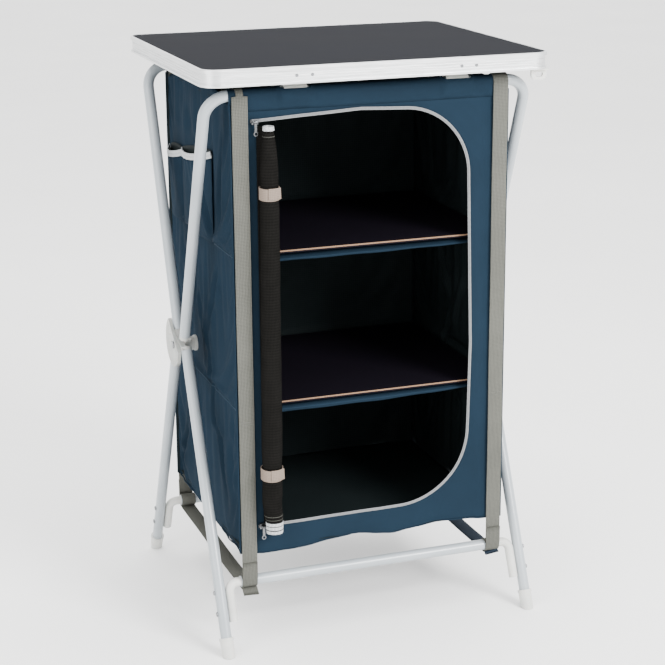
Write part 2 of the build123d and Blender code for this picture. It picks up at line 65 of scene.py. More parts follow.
# %% [markdown]
# ## Colours and nodes
# Cloth and paint colours are read as sRGB hex, the way a colour card gives them, while the renderer wants linear
# light. One function turns one into the other. One more adds a node with its settings and links, so that each
# material below reads like a recipe.

# %% Colour and node helpers
def hex_rgb(code):
    values = [int(code[k:k + 2], 16) / 255 for k in (0, 2, 4)]
    return tuple(v / 12.92 if v <= 0.04045 else ((v + 0.055) / 1.055) ** 2.4 for v in values) + (1.0,)


def add(tree, kind, values=None, links=None):
    """Adds one node. Lower-case keys are its settings, "stops" the colours of a ramp, the other keys its sockets."""
    node = tree.nodes.new(kind)
    for key, value in (values or {}).items():
        if key == "stops":
            for k, (place, code) in enumerate(value):
                node.color_ramp.elements[k].position = place
                node.color_ramp.elements[k].color = hex_rgb(code)
        elif isinstance(key, str) and key.islower():
            setattr(node, key, value)
        else:
            node.inputs[key].default_value = value
    for key, source in (links or {}).items():
        tree.links.new(source, node.inputs[key])
    return node


def start(name, surface):
    """A material with an empty tree but for its surface shader, whose own sockets hold the constants."""
    material = bpy.data.materials.new(name)
    material.use_nodes = True
    tree = material.node_tree
    tree.nodes.clear()
    shader = add(tree, "ShaderNodeBsdfPrincipled", surface)
    add(tree, "ShaderNodeOutputMaterial", links={"Surface": shader.outputs["BSDF"]})
    return material, tree, shader


print("mid grey 808080 in linear light:", round(hex_rgb("808080")[0], 3))

# %% [markdown]
# ## One recipe for hard skins
# Paint, plastic, metal and melamine differ in colour and grain, yet in each of them noise mixes two close tints and
# a fine relief lies on top. One recipe makes them all, which is shorter than four and keeps them alike. A pixel of
# the picture is nearly 2 mm wide, so a finer grain is drawn coarser. Its real size stands beside each value.

# %% Hard skins
def hard_skin(name, surface, clouds, tints, bump=None, relief=None, rough=None, stretch=None):
    """clouds: noise settings; bump: strength and metres; relief: node, settings and output; rough: low and high."""
    material, tree, shader = start(name, surface)
    place = add(tree, "ShaderNodeTexCoord").outputs["Object"]
    if stretch:
        place = add(tree, "ShaderNodeMapping", {"Scale": stretch}, {"Vector": place}).outputs["Vector"]
    cloud = add(tree, "ShaderNodeTexNoise", clouds, {"Vector": place}).outputs["Fac"]
    tint = add(tree, "ShaderNodeValToRGB", {"stops": tints}, {"Fac": cloud})
    tree.links.new(tint.outputs["Color"], shader.inputs["Base Color"])
    if rough:
        wear = add(tree, "ShaderNodeMapRange", {"To Min": rough[0], "To Max": rough[1]}, {"Value": cloud})
        tree.links.new(wear.outputs["Result"], shader.inputs["Roughness"])
    if bump:
        height = cloud
        if relief:
            kind, settings, output = relief
            height = add(tree, kind, settings, {"Vector": place}).outputs[output]
        grain = add(tree, "ShaderNodeBump", {"Strength": bump[0], "Distance": bump[1]}, {"Height": height})
        tree.links.new(grain.outputs["Normal"], shader.inputs["Normal"])
    return material


print("a grain of 1 mm is a noise scale of", round(1 / MM))

# %% [markdown]
# ## Powder-coated steel tube
# The frame is welded steel tube under a baked coat of light grey powder. Powder flows out to a satin skin with a
# very fine orange peel, so the eye sees a soft highlight along each tube and hardly any colour change.

# %% Powder coat
PEEL_MM = 1.6  # about as wide as the real ripple
POWDER = hard_skin(
    "powder_coated_steel", {"Roughness": 0.3, "Specular IOR Level": 0.6, "Coat Weight": 0.2, "Coat Roughness": 0.15},
    {"Scale": 9.0, "Detail": 3.0}, [(0.3, "8D9499"), (0.75, "9BA1A5")], (0.05, 0.0002),
    ("ShaderNodeTexNoise", {"Scale": 1 / (PEEL_MM * MM), "Detail": 2.0}, "Fac"),
)
print("made", POWDER.name)

# %% [markdown]
# ## Moulded plastic
# Elbows, feet and clips are moulded polypropylene, off-white and slightly waxy, and the hubs are a greyer mix.
# A mould is spark-eroded, which leaves a fine even grain that breaks up the highlight.

# %% Moulded polypropylene in two tints
GRAIN_MM = 0.8  # drawn coarser: a real spark grain is about 0.15 mm


def moulded(name, dark, light):
    return hard_skin(
        name, {"Roughness": 0.5, "Subsurface Weight": 0.04, "Subsurface Scale": 0.003},
        {"Scale": 30.0, "Detail": 4.0}, [(0.35, dark), (0.7, light)], (0.12, 0.0002),
        ("ShaderNodeTexNoise", {"Scale": 1 / (GRAIN_MM * MM), "Detail": 3.0}, "Fac"),
    )


POLYPROPYLENE = moulded("moulded_polypropylene", "B4B5B1", "C6C6C1")
HUB_PLASTIC = moulded("moulded_hub_polypropylene", "8F918E", "A9AAA6")
print("made", POLYPROPYLENE.name, HUB_PLASTIC.name)

# %% [markdown]
# ## Fasteners, zip metal and the extruded edge
# Screws and rivets are zinc-plated steel, sliders are die-cast zinc under nickel, and the table's edge is an
# aluminium extrusion with a bright satin anodised skin. Drawing the metal through its die leaves faint lines
# along its length, so its roughness changes across them.

# %% Metals
PLATE_MM, CAST_MM, DRAW_LINE_MM = 0.8, 0.7, 0.9  # drawn coarser: real lines and plating grain are about 0.2 mm


def metal(name, dark, light, rough, line_mm, stretch):
    lines = {"Scale": 1 / (line_mm * MM), "Detail": 2.0}
    return hard_skin(name, {"Metallic": 1.0}, lines, [(0.3, dark), (0.7, light)], (0.04, 0.0001), None, rough, stretch)


ZINC = metal("zinc_plated_steel", "6E7073", "8E9092", (0.25, 0.42), PLATE_MM, (1, 1, 1))
NICKEL = metal("nickel_plated_zinc", "5A5C5E", "7A7B7C", (0.18, 0.34), CAST_MM, (1, 1, 1))
ANODISED = metal("anodised_aluminium", "CDCFD0", "EBECED", (0.26, 0.46), DRAW_LINE_MM, (0.02, 0.02, 1))
print("made", ZINC.name, NICKEL.name, ANODISED.name)

# %% [markdown]
# ## The table panel
# The top is a thin board faced with dark grey melamine. The press plate gives melamine a fine pebbled texture, and
# handling leaves faint lighter scuffs, which is why it looks slate grey rather than black under a soft light.

# %% Melamine
PEBBLE_MM = 1.4  # drawn coarser: a real pebble is about 0.5 mm
MELAMINE = hard_skin(
    "melamine_faced_board", {"Specular IOR Level": 0.004}, {"Scale": 5.0, "Detail": 5.0, "Roughness": 0.6},
    [(0.3, "15161A"), (0.75, "1C1D21")], (0.15, 0.0002),
    ("ShaderNodeTexVoronoi", {"Scale": 1 / (PEBBLE_MM * MM)}, "Distance"), (0.46, 0.58),
)
print("made", MELAMINE.name)

# %% [markdown]
# ## Shelf boards
# Each shelf is a thin fibreboard. Its faces are dark and only the sawn edge shows the raw orange-brown fibre, so
# one material looks at which way the surface faces: up and down is dark, sideways is raw in its upper half and
# dark in its lower half. That dark lower half is painted shade, for the shadowed gap between board and sleeve.

# %% Fibreboard
FIBRE_MM = 1.2  # drawn coarser: real fibre flecks are about 0.5 mm
# share of the edge's height below which the edge is drawn dark, as painted shade
PAINTED_SHADE_BELOW = 0.5


def fibreboard():
    material, tree, shader = start("dark_faced_fibreboard", {"Roughness": 0.62, "Specular IOR Level": 0.02})
    place = add(tree, "ShaderNodeTexCoord")
    grain = {"Scale": 1 / (FIBRE_MM * MM), "Detail": 4.0}
    fibre = add(tree, "ShaderNodeTexNoise", grain, {"Vector": place.outputs["Object"]}).outputs["Fac"]
    face = add(tree, "ShaderNodeValToRGB", {"stops": [(0.3, "0C0A0F"), (0.75, "151219")]}, {"Fac": fibre})
    raw = add(tree, "ShaderNodeValToRGB", {"stops": [(0.3, "68503F"), (0.75, "846C58")]}, {"Fac": fibre})
    facing = add(tree, "ShaderNodeSeparateXYZ", links={"Vector": place.outputs["Normal"]})
    upright = add(tree, "ShaderNodeSeparateXYZ", links={"Vector": place.outputs["Generated"]})
    # the edge's lower half takes the dark face colour: painted shade of the gap between board and sleeve
    lower = add(tree, "ShaderNodeMath", {"operation": "LESS_THAN", 1: PAINTED_SHADE_BELOW}, {0: upright.outputs["Z"]})
    level = add(tree, "ShaderNodeMath", {"operation": "ABSOLUTE"}, {0: facing.outputs["Z"]})
    flat = add(tree, "ShaderNodeMath", {"operation": "MAXIMUM"}, {0: level.outputs[0], 1: lower.outputs[0]})
    mix = add(tree, "ShaderNodeMix", {"data_type": "RGBA"}, {
        0: flat.outputs[0], 6: raw.outputs["Color"], 7: face.outputs["Color"],
    })
    bump = add(tree, "ShaderNodeBump", {"Strength": 0.1, "Distance": 0.0002}, {"Height": fibre})
    tree.links.new(mix.outputs[2], shader.inputs["Base Color"])
    tree.links.new(bump.outputs["Normal"], shader.inputs["Normal"])
    return material


FIBREBOARD = fibreboard()
print("made", FIBREBOARD.name)

# %% [markdown]
# ## Woven cloths
# The walls are plain-woven polyester with a coated back. Real threads lie about 0.4 mm apart, too fine to show in
# a picture this size, so the walls' weave is drawn about twice as coarse and the lining's five times, and both are
# kept faint. Warp and weft are two sets of bands that change places in a checkerboard, and that is all a plain
# weave is. The cloth's own flat coordinates, in metres, carry the pattern, so it follows each fold.

# %% Weave
CLOTH_GLOSS = 0.02


def weave(tree, vector, across_mm, along_mm):
    """Height of a plain weave: bands one way and the other, taking turns."""
    bands = [add(tree, "ShaderNodeTexWave", {
        "wave_type": "BANDS", "bands_direction": way, "Scale": 0.5 / (gap * MM) / 10 * math.pi,
    }, {"Vector": vector}).outputs["Fac"] for way, gap in (("X", across_mm), ("Y", along_mm))]
    turns = add(tree, "ShaderNodeTexChecker", {"Scale": 1 / (across_mm * MM)}, {"Vector": vector})
    mix = add(tree, "ShaderNodeMix", {"data_type": "FLOAT"}, {0: turns.outputs["Fac"], 2: bands[0], 3: bands[1]})
    return mix.outputs[0]


def cloth(name, dark, light, across_mm, along_mm, depth_mm, rough, cloud_scale=6.0):
    material, tree, shader = start(name, {"Roughness": rough, "Specular IOR Level": CLOTH_GLOSS})
    flat = add(tree, "ShaderNodeTexCoord").outputs["UV"]
    height = weave(tree, flat, across_mm, along_mm)
    clouds = {"Scale": cloud_scale, "Detail": 6.0, "Roughness": 0.65}
    cloud = add(tree, "ShaderNodeTexNoise", clouds, {"Vector": flat})
    both = add(tree, "ShaderNodeMix", {"data_type": "FLOAT", 0: 0.45}, {2: height, 3: cloud.outputs["Fac"]})
    tint = add(tree, "ShaderNodeValToRGB", {"stops": [(0.2, dark), (0.8, light)]}, {"Fac": both.outputs[0]})
    bump = add(tree, "ShaderNodeBump", {"Strength": 0.5, "Distance": depth_mm * MM}, {"Height": height})
    tree.links.new(tint.outputs["Color"], shader.inputs["Base Color"])
    tree.links.new(bump.outputs["Normal"], shader.inputs["Normal"])
    return material


POLYESTER = cloth("woven_polyester", "111A22", "192835", 0.9, 0.9, 0.15, 0.8)
LINING = cloth("coated_polyester_back", "121718", "1B2122", 2.0, 2.0, 0.1, 0.6)
AUBERGINE = cloth("coated_lining", "15121A", "221D28", 2.0, 2.0, 0.1, 0.55)
MESH = cloth("polyester_net", "070706", "161514", 1.2, 2.4, 0.5, 0.75, 25.0)
WEBBING = cloth("polypropylene_webbing", "3A3B37", "60605A", 1.3, 1.2, 0.4, 0.6)
# webbing for the right front-to-back strap, drawn darker and bluer than the grey webbing
DARK_BLUE_WEBBING = cloth("dark_blue_polypropylene_webbing", "151B22", "232D38", 1.3, 1.2, 0.4, 0.6)
TIE_TAPE = cloth("cotton_tape", "695E55", "7D7066", 1.4, 1.4, 0.3, 0.8)
ZIP_TAPE = cloth("polyester_zip_tape", "626365", "7F8081", 1.5, 1.2, 0.3, 0.6)
ELASTIC = cloth("ribbed_elastic", "8E9193", "AFB1B1", 3.0, 1.6, 0.5, 0.7)
DYED_THREAD = cloth("dyed_polyester_thread", "24323E", "33424F", 0.8, 0.8, 0.2, 0.5)
THREAD = cloth("polyester_thread", "5F605C", "73736F", 0.8, 0.8, 0.2, 0.5)
print("cloths made, from", POLYESTER.name, "to", THREAD.name)

# %% [markdown]
# ## Dressing the hard pieces
# Each hard piece keeps its mesh and its place and only gets its finish. The table below goes from the record's
# finish name to the material, and the hubs take the greyer plastic.

# %% Dress the hard pieces
FINISH = {
    "tube_paint": POWDER, "white_plastic": POLYPROPYLENE, "steel_fasteners": ZINC, "dark_laminate": MELAMINE,
    "edge_aluminium": ANODISED, "shelf_board": FIBREBOARD, "zip_metal": NICKEL,
}
slot_of = {row["node"]: row["material_slot"] for row in frame["record"]["subparts"]}
dressed = 0
for name, piece in frame["nodes"].items():
    finish = FINISH.get(slot_of[name])
    if finish is None:
        continue
    piece.data.materials.clear()
    piece.data.materials.append(HUB_PLASTIC if name.startswith("hub_") and name != "hub_pins" else finish)
    dressed += 1
print("hard pieces dressed:", dressed)

# %% [markdown]
# ## Sewing helpers
# Every cloth piece is a grid of points that knows its flat coordinates. The walls lean a little, because they run
# from the top bar to the crossbar, which stands further out. A pattern is drawn upright and then leaned. What
# belongs to the box of walls is squeezed flat, front to back, as the frame folds.

# %% Lean and object helpers
BAR_Y, BAR_Z = 194.0, 950.0
CROSS_Y, CROSS_Z = 199.77, 112.0
WALL_Y = 201.3
LEAN = math.atan2(CROSS_Y - BAR_Y, BAR_Z - CROSS_Z)


def lean(points, row):
    """Tilts points from upright onto the line from the top bar to the crossbar, front row -1 or rear row 1."""
    out = np.array(points, float)
    dy, dz = out[..., 1] - row * BAR_Y, out[..., 2] - BAR_Z
    c, s = math.cos(row * LEAN), math.sin(row * LEAN)
    out[..., 1], out[..., 2] = row * BAR_Y + dy * c - dz * s, BAR_Z + dy * s + dz * c
    return out


def put(name, data):
    """An object in the scene that shows this mesh, lamp or camera."""
    piece = bpy.data.objects.new(name, data)
    bpy.context.collection.objects.link(piece)
    return piece


print("walls lean by", round(math.degrees(LEAN), 3), "degrees")

# %% Cloth as a grid
def grid(name, points, flat, wrap=False, capped=False):
    """A mesh from rows of points and their flat coordinates, in millimetres. With wrap the last row is the first."""
    points, flat = np.asarray(points, float), np.asarray(flat, float)
    m, n = points.shape[:2]
    rows = m - 1 if wrap else m
    faces, uvs = [], []
    for i in range(m - 1):
        for j in range(n - 1):
            a, b = (i % rows) * n + j, ((i + 1) % rows) * n + j
            faces.append((a, b, b + 1, a + 1))
            uvs += [flat[i, j], flat[i + 1, j], flat[i + 1, j + 1], flat[i, j + 1]]
    if capped:
        faces += [tuple(i * n for i in range(rows)), tuple(i * n + n - 1 for i in reversed(range(rows)))]
        uvs += [flat[0, 0]] * rows * 2
    mesh = bpy.data.meshes.new(name)
    mesh.from_pydata([tuple(v) for v in points[:rows].reshape(-1, 3) * MM], [], faces)
    layer = mesh.uv_layers.new(name="flat")
    layer.data.foreach_set("uv", (np.array(uvs) * MM).astype(np.float32).ravel())
    mesh.polygons.foreach_set("use_smooth", [True] * len(mesh.polygons))
    return put(name, mesh)


print("patterns are drawn in millimetres and kept in metres, at", MM)

# %% Finish a cloth piece
def sew(piece, material, body, replaces=(), back=None, thick=0.0, offset=-1.0):
    """Finishes a cloth piece: material and back, thickness, the body it rides on and the solid it stands for."""
    piece.data.materials.append(material)
    if back is not None:
        piece.data.materials.append(back)
    if thick:
        shell = piece.modifiers.new("Thickness", "SOLIDIFY")
        shell.thickness = thick * MM
        shell.offset = offset
        shell.material_offset = 1 if back is not None else 0
    if body is not None:
        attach(piece, body)
    if replaces:
        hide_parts(*replaces)
    if body == "cabinet":
        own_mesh(piece)


def run_of(points):
    """Distance along a line of points from its first one, at each of them."""
    return np.concatenate([[0], np.cumsum(np.linalg.norm(np.diff(points, axis=0), axis=1))])


def ripple(x, z, size, seed):
    """Smooth noise over a cloth, about -1 to 1, with lumps of that size in millimetres."""
    out = np.zeros(np.shape(x))
    for k in np.ndindex(out.shape):
        out[k] = noise.noise(Vector((x[k] / size, z[k] / size, seed)))
    return out


print("noise of 90 mm lumps at the middle:", round(float(ripple(np.zeros(1), np.zeros(1), 90, 3.1)[0]), 3))

# %% [markdown]
# ## The door's outline
# The opening is a letter D with its straight side on the left: two large round corners on the right, and a top
# edge that rises a little to the middle. It is drawn once and used for the front wall, the zip tape and the zip's
# coil, so all three follow the same curve.

# %% Door outline
ZIP_START, OPENING_LEFT = -210.0, -199.0
DOOR = [(ZIP_START, 908.3), (-21, 918), (170, 909), (180, 500), (174, 216), (ZIP_START, 212)]
DOOR_RADIUS = {2: 118.0, 4: 130.0}
CORNER_STEPS = 26


def round_corner(before, corner, after, radius):
    p, q, r = (np.array(v, float) for v in (before, corner, after))
    a, b = (p - q) / np.linalg.norm(p - q), (r - q) / np.linalg.norm(r - q)
    half = math.acos(float(a @ b)) / 2
    middle = q + (a + b) / np.linalg.norm(a + b) * radius / math.sin(half)
    s, e = q + a * radius / math.tan(half), q + b * radius / math.tan(half)
    a0, a1 = (math.atan2(*(v - middle)[::-1]) for v in (s, e))
    turn = (a1 - a0 + math.pi) % (2 * math.pi) - math.pi
    angles = [a0 + turn * k / CORNER_STEPS for k in range(CORNER_STEPS + 1)]
    return [middle + radius * np.array([math.cos(a), math.sin(a)]) for a in angles]


def outline():
    line = []
    for k, corner in enumerate(DOOR):
        if k in DOOR_RADIUS:
            line += round_corner(DOOR[k - 1], corner, DOOR[(k + 1) % len(DOOR)], DOOR_RADIUS[k])
        else:
            line.append(np.array(corner, float))
    return line


def spaced(line, step):
    """The same line with points about a step apart, its own corners kept."""
    out = []
    for p, q in zip(line, line[1:]):
        n = max(1, int(round(np.linalg.norm(q - p) / step)))
        out += [p + (q - p) * k / n for k in range(n)]
    return np.array(out + [line[-1]])


closed = outline()
opening = [np.array([max(p[0], OPENING_LEFT), p[1]]) for p in closed]
DOOR_RING = spaced(opening + [opening[0]], 6.0)
ZIP_LINE = spaced(closed, 4.0)
print("door outline points:", len(DOOR_RING), "zip run", round(run_of(ZIP_LINE)[-1]), "mm")

# %% [markdown]
# ## How the front wall moves in and out
# The cloth is pulled fairly flat between the straps. It still ripples where the zip is stitched on, sags in soft
# scallops along the free hem, and has a few long upright folds to the right of the door. One function of place
# gives that depth to everything sewn to the wall, so tape, coil and hem lie on it without being fitted.

# %% Front wall relief
WALL_HALF, WALL_TOP = 243.0, 938.0
STRAP_FROM, STRAP_FADE = 222, 16
HEM_MEAN, HEM_FADE = 166, 34
FOLD_X, FOLD_FADE = 202, 13
HEM_X, HEM_Z = (np.array(v, float) for v in zip(
    (-WALL_HALF, 166), (-207, 162), (-149, 163), (-84, 168), (-34, 174), (38, 165), (57, 167), (118, 172), (179, 172),
    (212, 167), (WALL_HALF, 166),
))


def hem_z(x):
    """A smooth line through the hem's measured points."""
    x = np.clip(np.asarray(x, float), -WALL_HALF, WALL_HALF)
    total, weight = np.zeros(x.shape), np.zeros(x.shape)
    for shift in np.linspace(-14, 14, 9):
        w = math.exp(-(shift / 8) ** 2)
        total += w * np.interp(np.clip(x + shift, -WALL_HALF, WALL_HALF), HEM_X, HEM_Z)
        weight += w
    return total / weight


def relief(x, z):
    """How far the front wall stands out from flat, in millimetres, at each place."""
    x, z = np.asarray(x, float), np.asarray(z, float)
    strap = np.clip((STRAP_FROM - np.abs(x)) / STRAP_FADE, 0, 1)
    near_hem = np.exp(-(z - HEM_MEAN) / HEM_FADE)
    right = np.exp(-((x - FOLD_X) / FOLD_FADE) ** 2)
    top = np.exp(-(WALL_TOP - z) / 26)
    out = 0.9 * ripple(x, z, 90, 3.1) + 0.5 * ripple(x, z, 34, 7.7)
    out = out + near_hem * (2.4 * np.sin(x / 27 + 0.7) + 1.3 * np.sin(x / 11.5))
    out = out + right * 1.6 * np.cos((x - FOLD_X) / 6.5 + z / 260)
    out = out + top * 1.0 * np.sin(x / 16 + 0.4)
    return np.clip(out * (0.25 + 0.75 * strap), -3.2, 2.2) - 0.6 * (1 - strap)


def on_wall(flat, proud):
    """Points on the front wall, standing that far out of it."""
    y = -(WALL_Y + relief(flat[:, 0], flat[:, 1]) + proud)
    return lean(np.stack([flat[:, 0], y, flat[:, 1]], axis=1), -1)


print("hem at the middle:", round(float(hem_z(0.0)), 1), "mm up")

# %% [markdown]
# ## The front wall
# A wall with a hole is easiest as rings: each point of the door's edge is joined by a straight run to the point of
# the wall's outer edge that lies in the same direction from the middle. The opening then has a clean edge however
# fine the mesh is, which a cut through a plain grid would not give. A thin second layer is the black coated back.

# %% Front wall
CENTRE = np.array([-15.0, 560.0])
RINGS = 15


def reach(line, angles):
    """Where rays from the middle at these angles meet a closed line."""
    rel = line - CENTRE
    hit = []
    for a in angles:
        d = np.array([math.cos(a), math.sin(a)])
        side = rel[:, 0] * d[1] - rel[:, 1] * d[0]
        ahead = rel @ d
        best = None
        for k in range(len(line) - 1):
            if side[k] * side[k + 1] <= 0 and max(ahead[k], ahead[k + 1]) > 0 and side[k] != side[k + 1]:
                best = line[k] + (line[k + 1] - line[k]) * (side[k] / (side[k] - side[k + 1]))
        hit.append(best)
    return np.array(hit)


def front_wall():
    top = [(-WALL_HALF, WALL_TOP), (WALL_HALF, WALL_TOP)]
    hem = [(x, float(hem_z(x))) for x in np.linspace(WALL_HALF, -WALL_HALF, 90)]
    outer = spaced([np.array(p, float) for p in top + hem + top[:1]], 8.0)
    rel = np.vstack([DOOR_RING[:-1], np.array(top + [hem[0], hem[-1]])]) - CENTRE
    angles = np.unique(np.round(np.arctan2(rel[:, 1], rel[:, 0]), 5))
    angles = np.append(angles, angles[0] + 2 * math.pi)
    inner, edge = reach(DOOR_RING, angles), reach(outer, angles)
    share = np.linspace(0, 1, RINGS)[None, :, None]
    flat = inner[:, None, :] * (1 - share) + edge[:, None, :] * share
    y = -(WALL_Y + relief(flat[..., 0], flat[..., 1]))
    points = lean(np.dstack([flat[..., 0], y, flat[..., 1]]), -1)
    return grid("front_wall_cloth", points[:, ::-1], flat[:, ::-1], wrap=True), flat


def flat_area(flat):
    """Area in square metres of a grid's flat pattern."""
    d1, d2 = flat[1:, 1:] - flat[:-1, :-1], flat[:-1, 1:] - flat[1:, :-1]
    return float(np.abs(d1[..., 0] * d2[..., 1] - d1[..., 1] * d2[..., 0]).sum() / 2) * 1e-6


wall, wall_flat = front_wall()
sew(wall, POLYESTER, "front_wall", ["front_panel"], LINING, 0.9)
print("front wall faces:", len(wall.data.polygons), "cloth", round(flat_area(wall_flat), 3), "square metres")

# %% [markdown]
# ## Ribbons
# Tape, webbing, hems and piping are all one thing: a narrow section carried along a line. The helper takes the
# line, the direction across it, and a section of across and outward offsets, and lays the flat coordinates along
# the ribbon so that its weave runs straight.

# %% Ribbon helper
def ribbon(name, line, across, section):
    """line (n,3); across: one direction or n of them; section: (across, outward) pairs, or one list per point."""
    line = np.asarray(line, float)
    across = np.broadcast_to(np.asarray(across, float), line.shape)
    along = unit(np.gradient(line, axis=0))
    across = unit(across - (across * along).sum(1)[:, None] * along)
    outward = np.cross(across, along)
    section = np.asarray(section, float)
    if section.ndim == 2:
        section = np.broadcast_to(section, (len(line),) + section.shape)
    section = np.concatenate([section, section[:, :1]], axis=1)
    points = line[:, None] + across[:, None] * section[..., :1] + outward[:, None] * section[..., 1:]
    steps = np.linalg.norm(np.diff(section, axis=1), axis=2)
    u = np.concatenate([np.zeros((len(line), 1)), np.cumsum(steps, axis=1)], axis=1)
    flat = np.dstack([u, np.broadcast_to(run_of(line)[:, None], u.shape)])
    return grid(name, points.transpose(1, 0, 2), flat.transpose(1, 0, 2), wrap=True, capped=True)


def bar_section(width, thick):
    """A woven band's section: flat faces and soft edges."""
    w, t = width / 2, thick / 2
    r = min(t, w) * 0.7
    half = [(-w, 0), (-w + r * 0.3, t * 0.8), (-w + r, t), (0, t), (w - r, t), (w - r * 0.3, t * 0.8)]
    return half + [(-x, -y) for x, y in half]


def tube_section(radius, sides):
    angles = [2 * math.pi * k / sides for k in range(sides)]
    return [(radius * math.cos(a), radius * math.sin(a)) for a in angles]


def unit(v):
    v = np.asarray(v, float)
    return v / np.linalg.norm(v, axis=-1, keepdims=True)


print("webbing section points:", len(bar_section(27, 1.6)))

# %% [markdown]
# ## The bar sleeve
# The front wall is carried up over its bar and sewn behind it, so the bar is hidden between the straps. The sleeve
# swells where the table's two clips grip the bar underneath, and is cut away above them to let the clips out. It
# is made of rows of points laid round the bar, and their radius and the place of the last row follow the clips.

# %% Bar sleeve
SLEEVE_FROM, SLEEVE_TO = -246.0, 236.0
SLEEVE_COLUMNS, SLEEVE_ROWS = 170, 14
SLEEVE_R, CLIP_SWELL = 10.5, 4.2
CLIP_XS, CLIP_HALF = (-133.0, 150.0), 20.0
LAST_PLAIN, LAST_CUT = 20, 126


def over_clip(x):
    """1 where a clip lies under the sleeve, 0 well away from it."""
    near = np.min([np.abs(x - c) for c in CLIP_XS], axis=0)
    return 0.5 + 0.5 * np.cos(math.pi * np.clip((near - CLIP_HALF - 2) / 12, 0, 1))


def bar_sleeve():
    xs = np.linspace(SLEEVE_FROM, SLEEVE_TO, SLEEVE_COLUMNS)
    clip = over_clip(xs)
    radius = SLEEVE_R + CLIP_SWELL * clip + 0.25 * ripple(xs, np.zeros(xs.shape), 40, 51.0)
    rows = []
    for z, proud in ((924.0, 1.0), (930.0, 1.3 + 1.2 * clip), (936.0, 1.7 + 3.4 * clip)):
        rows.append(on_wall(np.stack([xs, np.full(xs.shape, z)], axis=1), proud))
    rows.append(np.stack([xs, -BAR_Y - radius * 0.97, np.full(xs.shape, 943.0)], axis=1))
    last = LAST_PLAIN + LAST_CUT * clip
    for share in np.linspace(0, 1, SLEEVE_ROWS):
        angle = np.radians(183 + (last - 183) * share)
        rows.append(np.stack([xs, -BAR_Y + radius * np.cos(angle), BAR_Z + radius * np.sin(angle)], axis=1))
    points = np.stack(rows, axis=1)
    run = np.array([run_of(p) for p in points])
    piece = grid("front_bar_sleeve_cloth", points, np.dstack([np.repeat(xs[:, None], run.shape[1], axis=1), run]))
    sew(piece, POLYESTER, "front_wall", (), LINING, 0.6)
    girth = float(run[:, -1].mean())
    return girth


print("bar sleeve girth:", round(bar_sleeve()), "mm")

# %% [markdown]
# ## The zip
# A spiral zip is a woven tape with a nylon coil along its middle. The tape lies on the cloth round the top, the
# right and the bottom of the door. The coil is a thin ribbed cord. Real ribs are about a millimetre and a half
# apart; these are drawn a little coarser, one every two steps of its line, so that they show at all.

# %% Zip tape and coil
TAPE_W, TAPE_T = 5.2, 0.9
COIL_R, COIL_RIB, COIL_STEP = 1.0, 0.25, 1.0


def zip_pieces():
    step = np.gradient(ZIP_LINE, axis=0)
    across = unit(np.stack([-step[:, 1], np.zeros(len(step)), step[:, 0]], axis=1))
    tape = ribbon("zip_tape_woven", on_wall(ZIP_LINE, 1.5), across, bar_section(TAPE_W, TAPE_T))
    fine = spaced(ZIP_LINE, COIL_STEP)
    step = np.gradient(fine, axis=0)
    across = unit(np.stack([-step[:, 1], np.zeros(len(step)), step[:, 0]], axis=1))
    ribs = 1 + COIL_RIB * np.cos(np.arange(len(fine)) * math.pi)
    section = np.array(tube_section(COIL_R, 6))[None] * ribs[:, None, None]
    return tape, ribbon("zip_coil", on_wall(fine, 2.2), across, section)


tape, coil = zip_pieces()
sew(tape, ZIP_TAPE, "front_wall", ["zip_tape"])
sew(coil, ZIP_TAPE, "front_wall")
print("zip coil faces:", len(coil.data.polygons))

# %% [markdown]
# ## Side and back walls
# These walls are sewn along their top, their hem, their two upright edges and the two lines where the shelf
# sleeves are stitched on. Between those seams the cloth is a touch larger than its frame, so it buckles into the
# soft slanting folds that one sees on any tent. A cloth simulation finds them: the seams are pinned, the cloth
# grows by one or two parts in a hundred, and gravity does the rest. How far it may leave its plane is capped,
# because boards and legs are near.

# %% Let cloth settle between its seams
SEAM_ZS = (683.0, 420.0)
HEM_LOW, SIDE_TOP = 165.0, 934.0
SIDEWAYS_MM = 3
CLOTH = {
    "vertex_group_mass": "seams", "mass": 0.18, "quality": 6, "tension_stiffness": 22, "compression_stiffness": 22,
    "shear_stiffness": 9, "bending_stiffness": 1.4, "air_damping": 6,
}


def places(mesh):
    """The mesh's points, in metres."""
    co = np.zeros(len(mesh.vertices) * 3, np.float32)
    mesh.vertices.foreach_get("co", co)
    return co.reshape(-1, 3)


def move_to(mesh, points):
    mesh.vertices.foreach_set("co", points.astype(np.float32).ravel())
    mesh.update()


def settle(piece, pinned, frames, slack, axis, inward, outward, calm=1.0):
    """Simulates the piece as pinned cloth and keeps the result, its depth along one axis capped in millimetres."""
    group = piece.vertex_groups.new(name="seams")
    group.add([int(k) for k in pinned], 1.0, "REPLACE")
    modifier = piece.modifiers.new("Settle", "CLOTH")
    for key, value in CLOTH.items():
        setattr(modifier.settings, key, value)
    modifier.settings.shrink_min = -slack
    modifier.collision_settings.use_collision = False
    modifier.point_cache.frame_start = 1
    modifier.point_cache.frame_end = frames
    scene = bpy.context.scene
    for f in range(1, frames + 1):
        scene.frame_set(f)
    rest = places(piece.data)
    moved = places(piece.evaluated_get(bpy.context.evaluated_depsgraph_get()).data) - rest
    depth = np.clip(moved[:, axis], -inward * MM, outward * MM) * calm
    moved = np.clip(moved, -SIDEWAYS_MM * MM, SIDEWAYS_MM * MM)
    moved[:, axis] = depth
    piece.modifiers.remove(modifier)
    move_to(piece.data, rest + moved)
    scene.frame_set(1)
    return float(np.abs(depth).max() / MM)


print("cloth settings:", len(CLOTH))

# %% Rows and seams
def wall_rows(low, high, step):
    """Heights for a wall's rows, with one row exactly on each seam."""
    stops = [low, *sorted(SEAM_ZS), high]
    rows = []
    for a, b in zip(stops, stops[1:]):
        n = max(2, int(round((b - a) / step)))
        rows += [a + (b - a) * k / n for k in range(n)]
    return np.array(rows + [high])


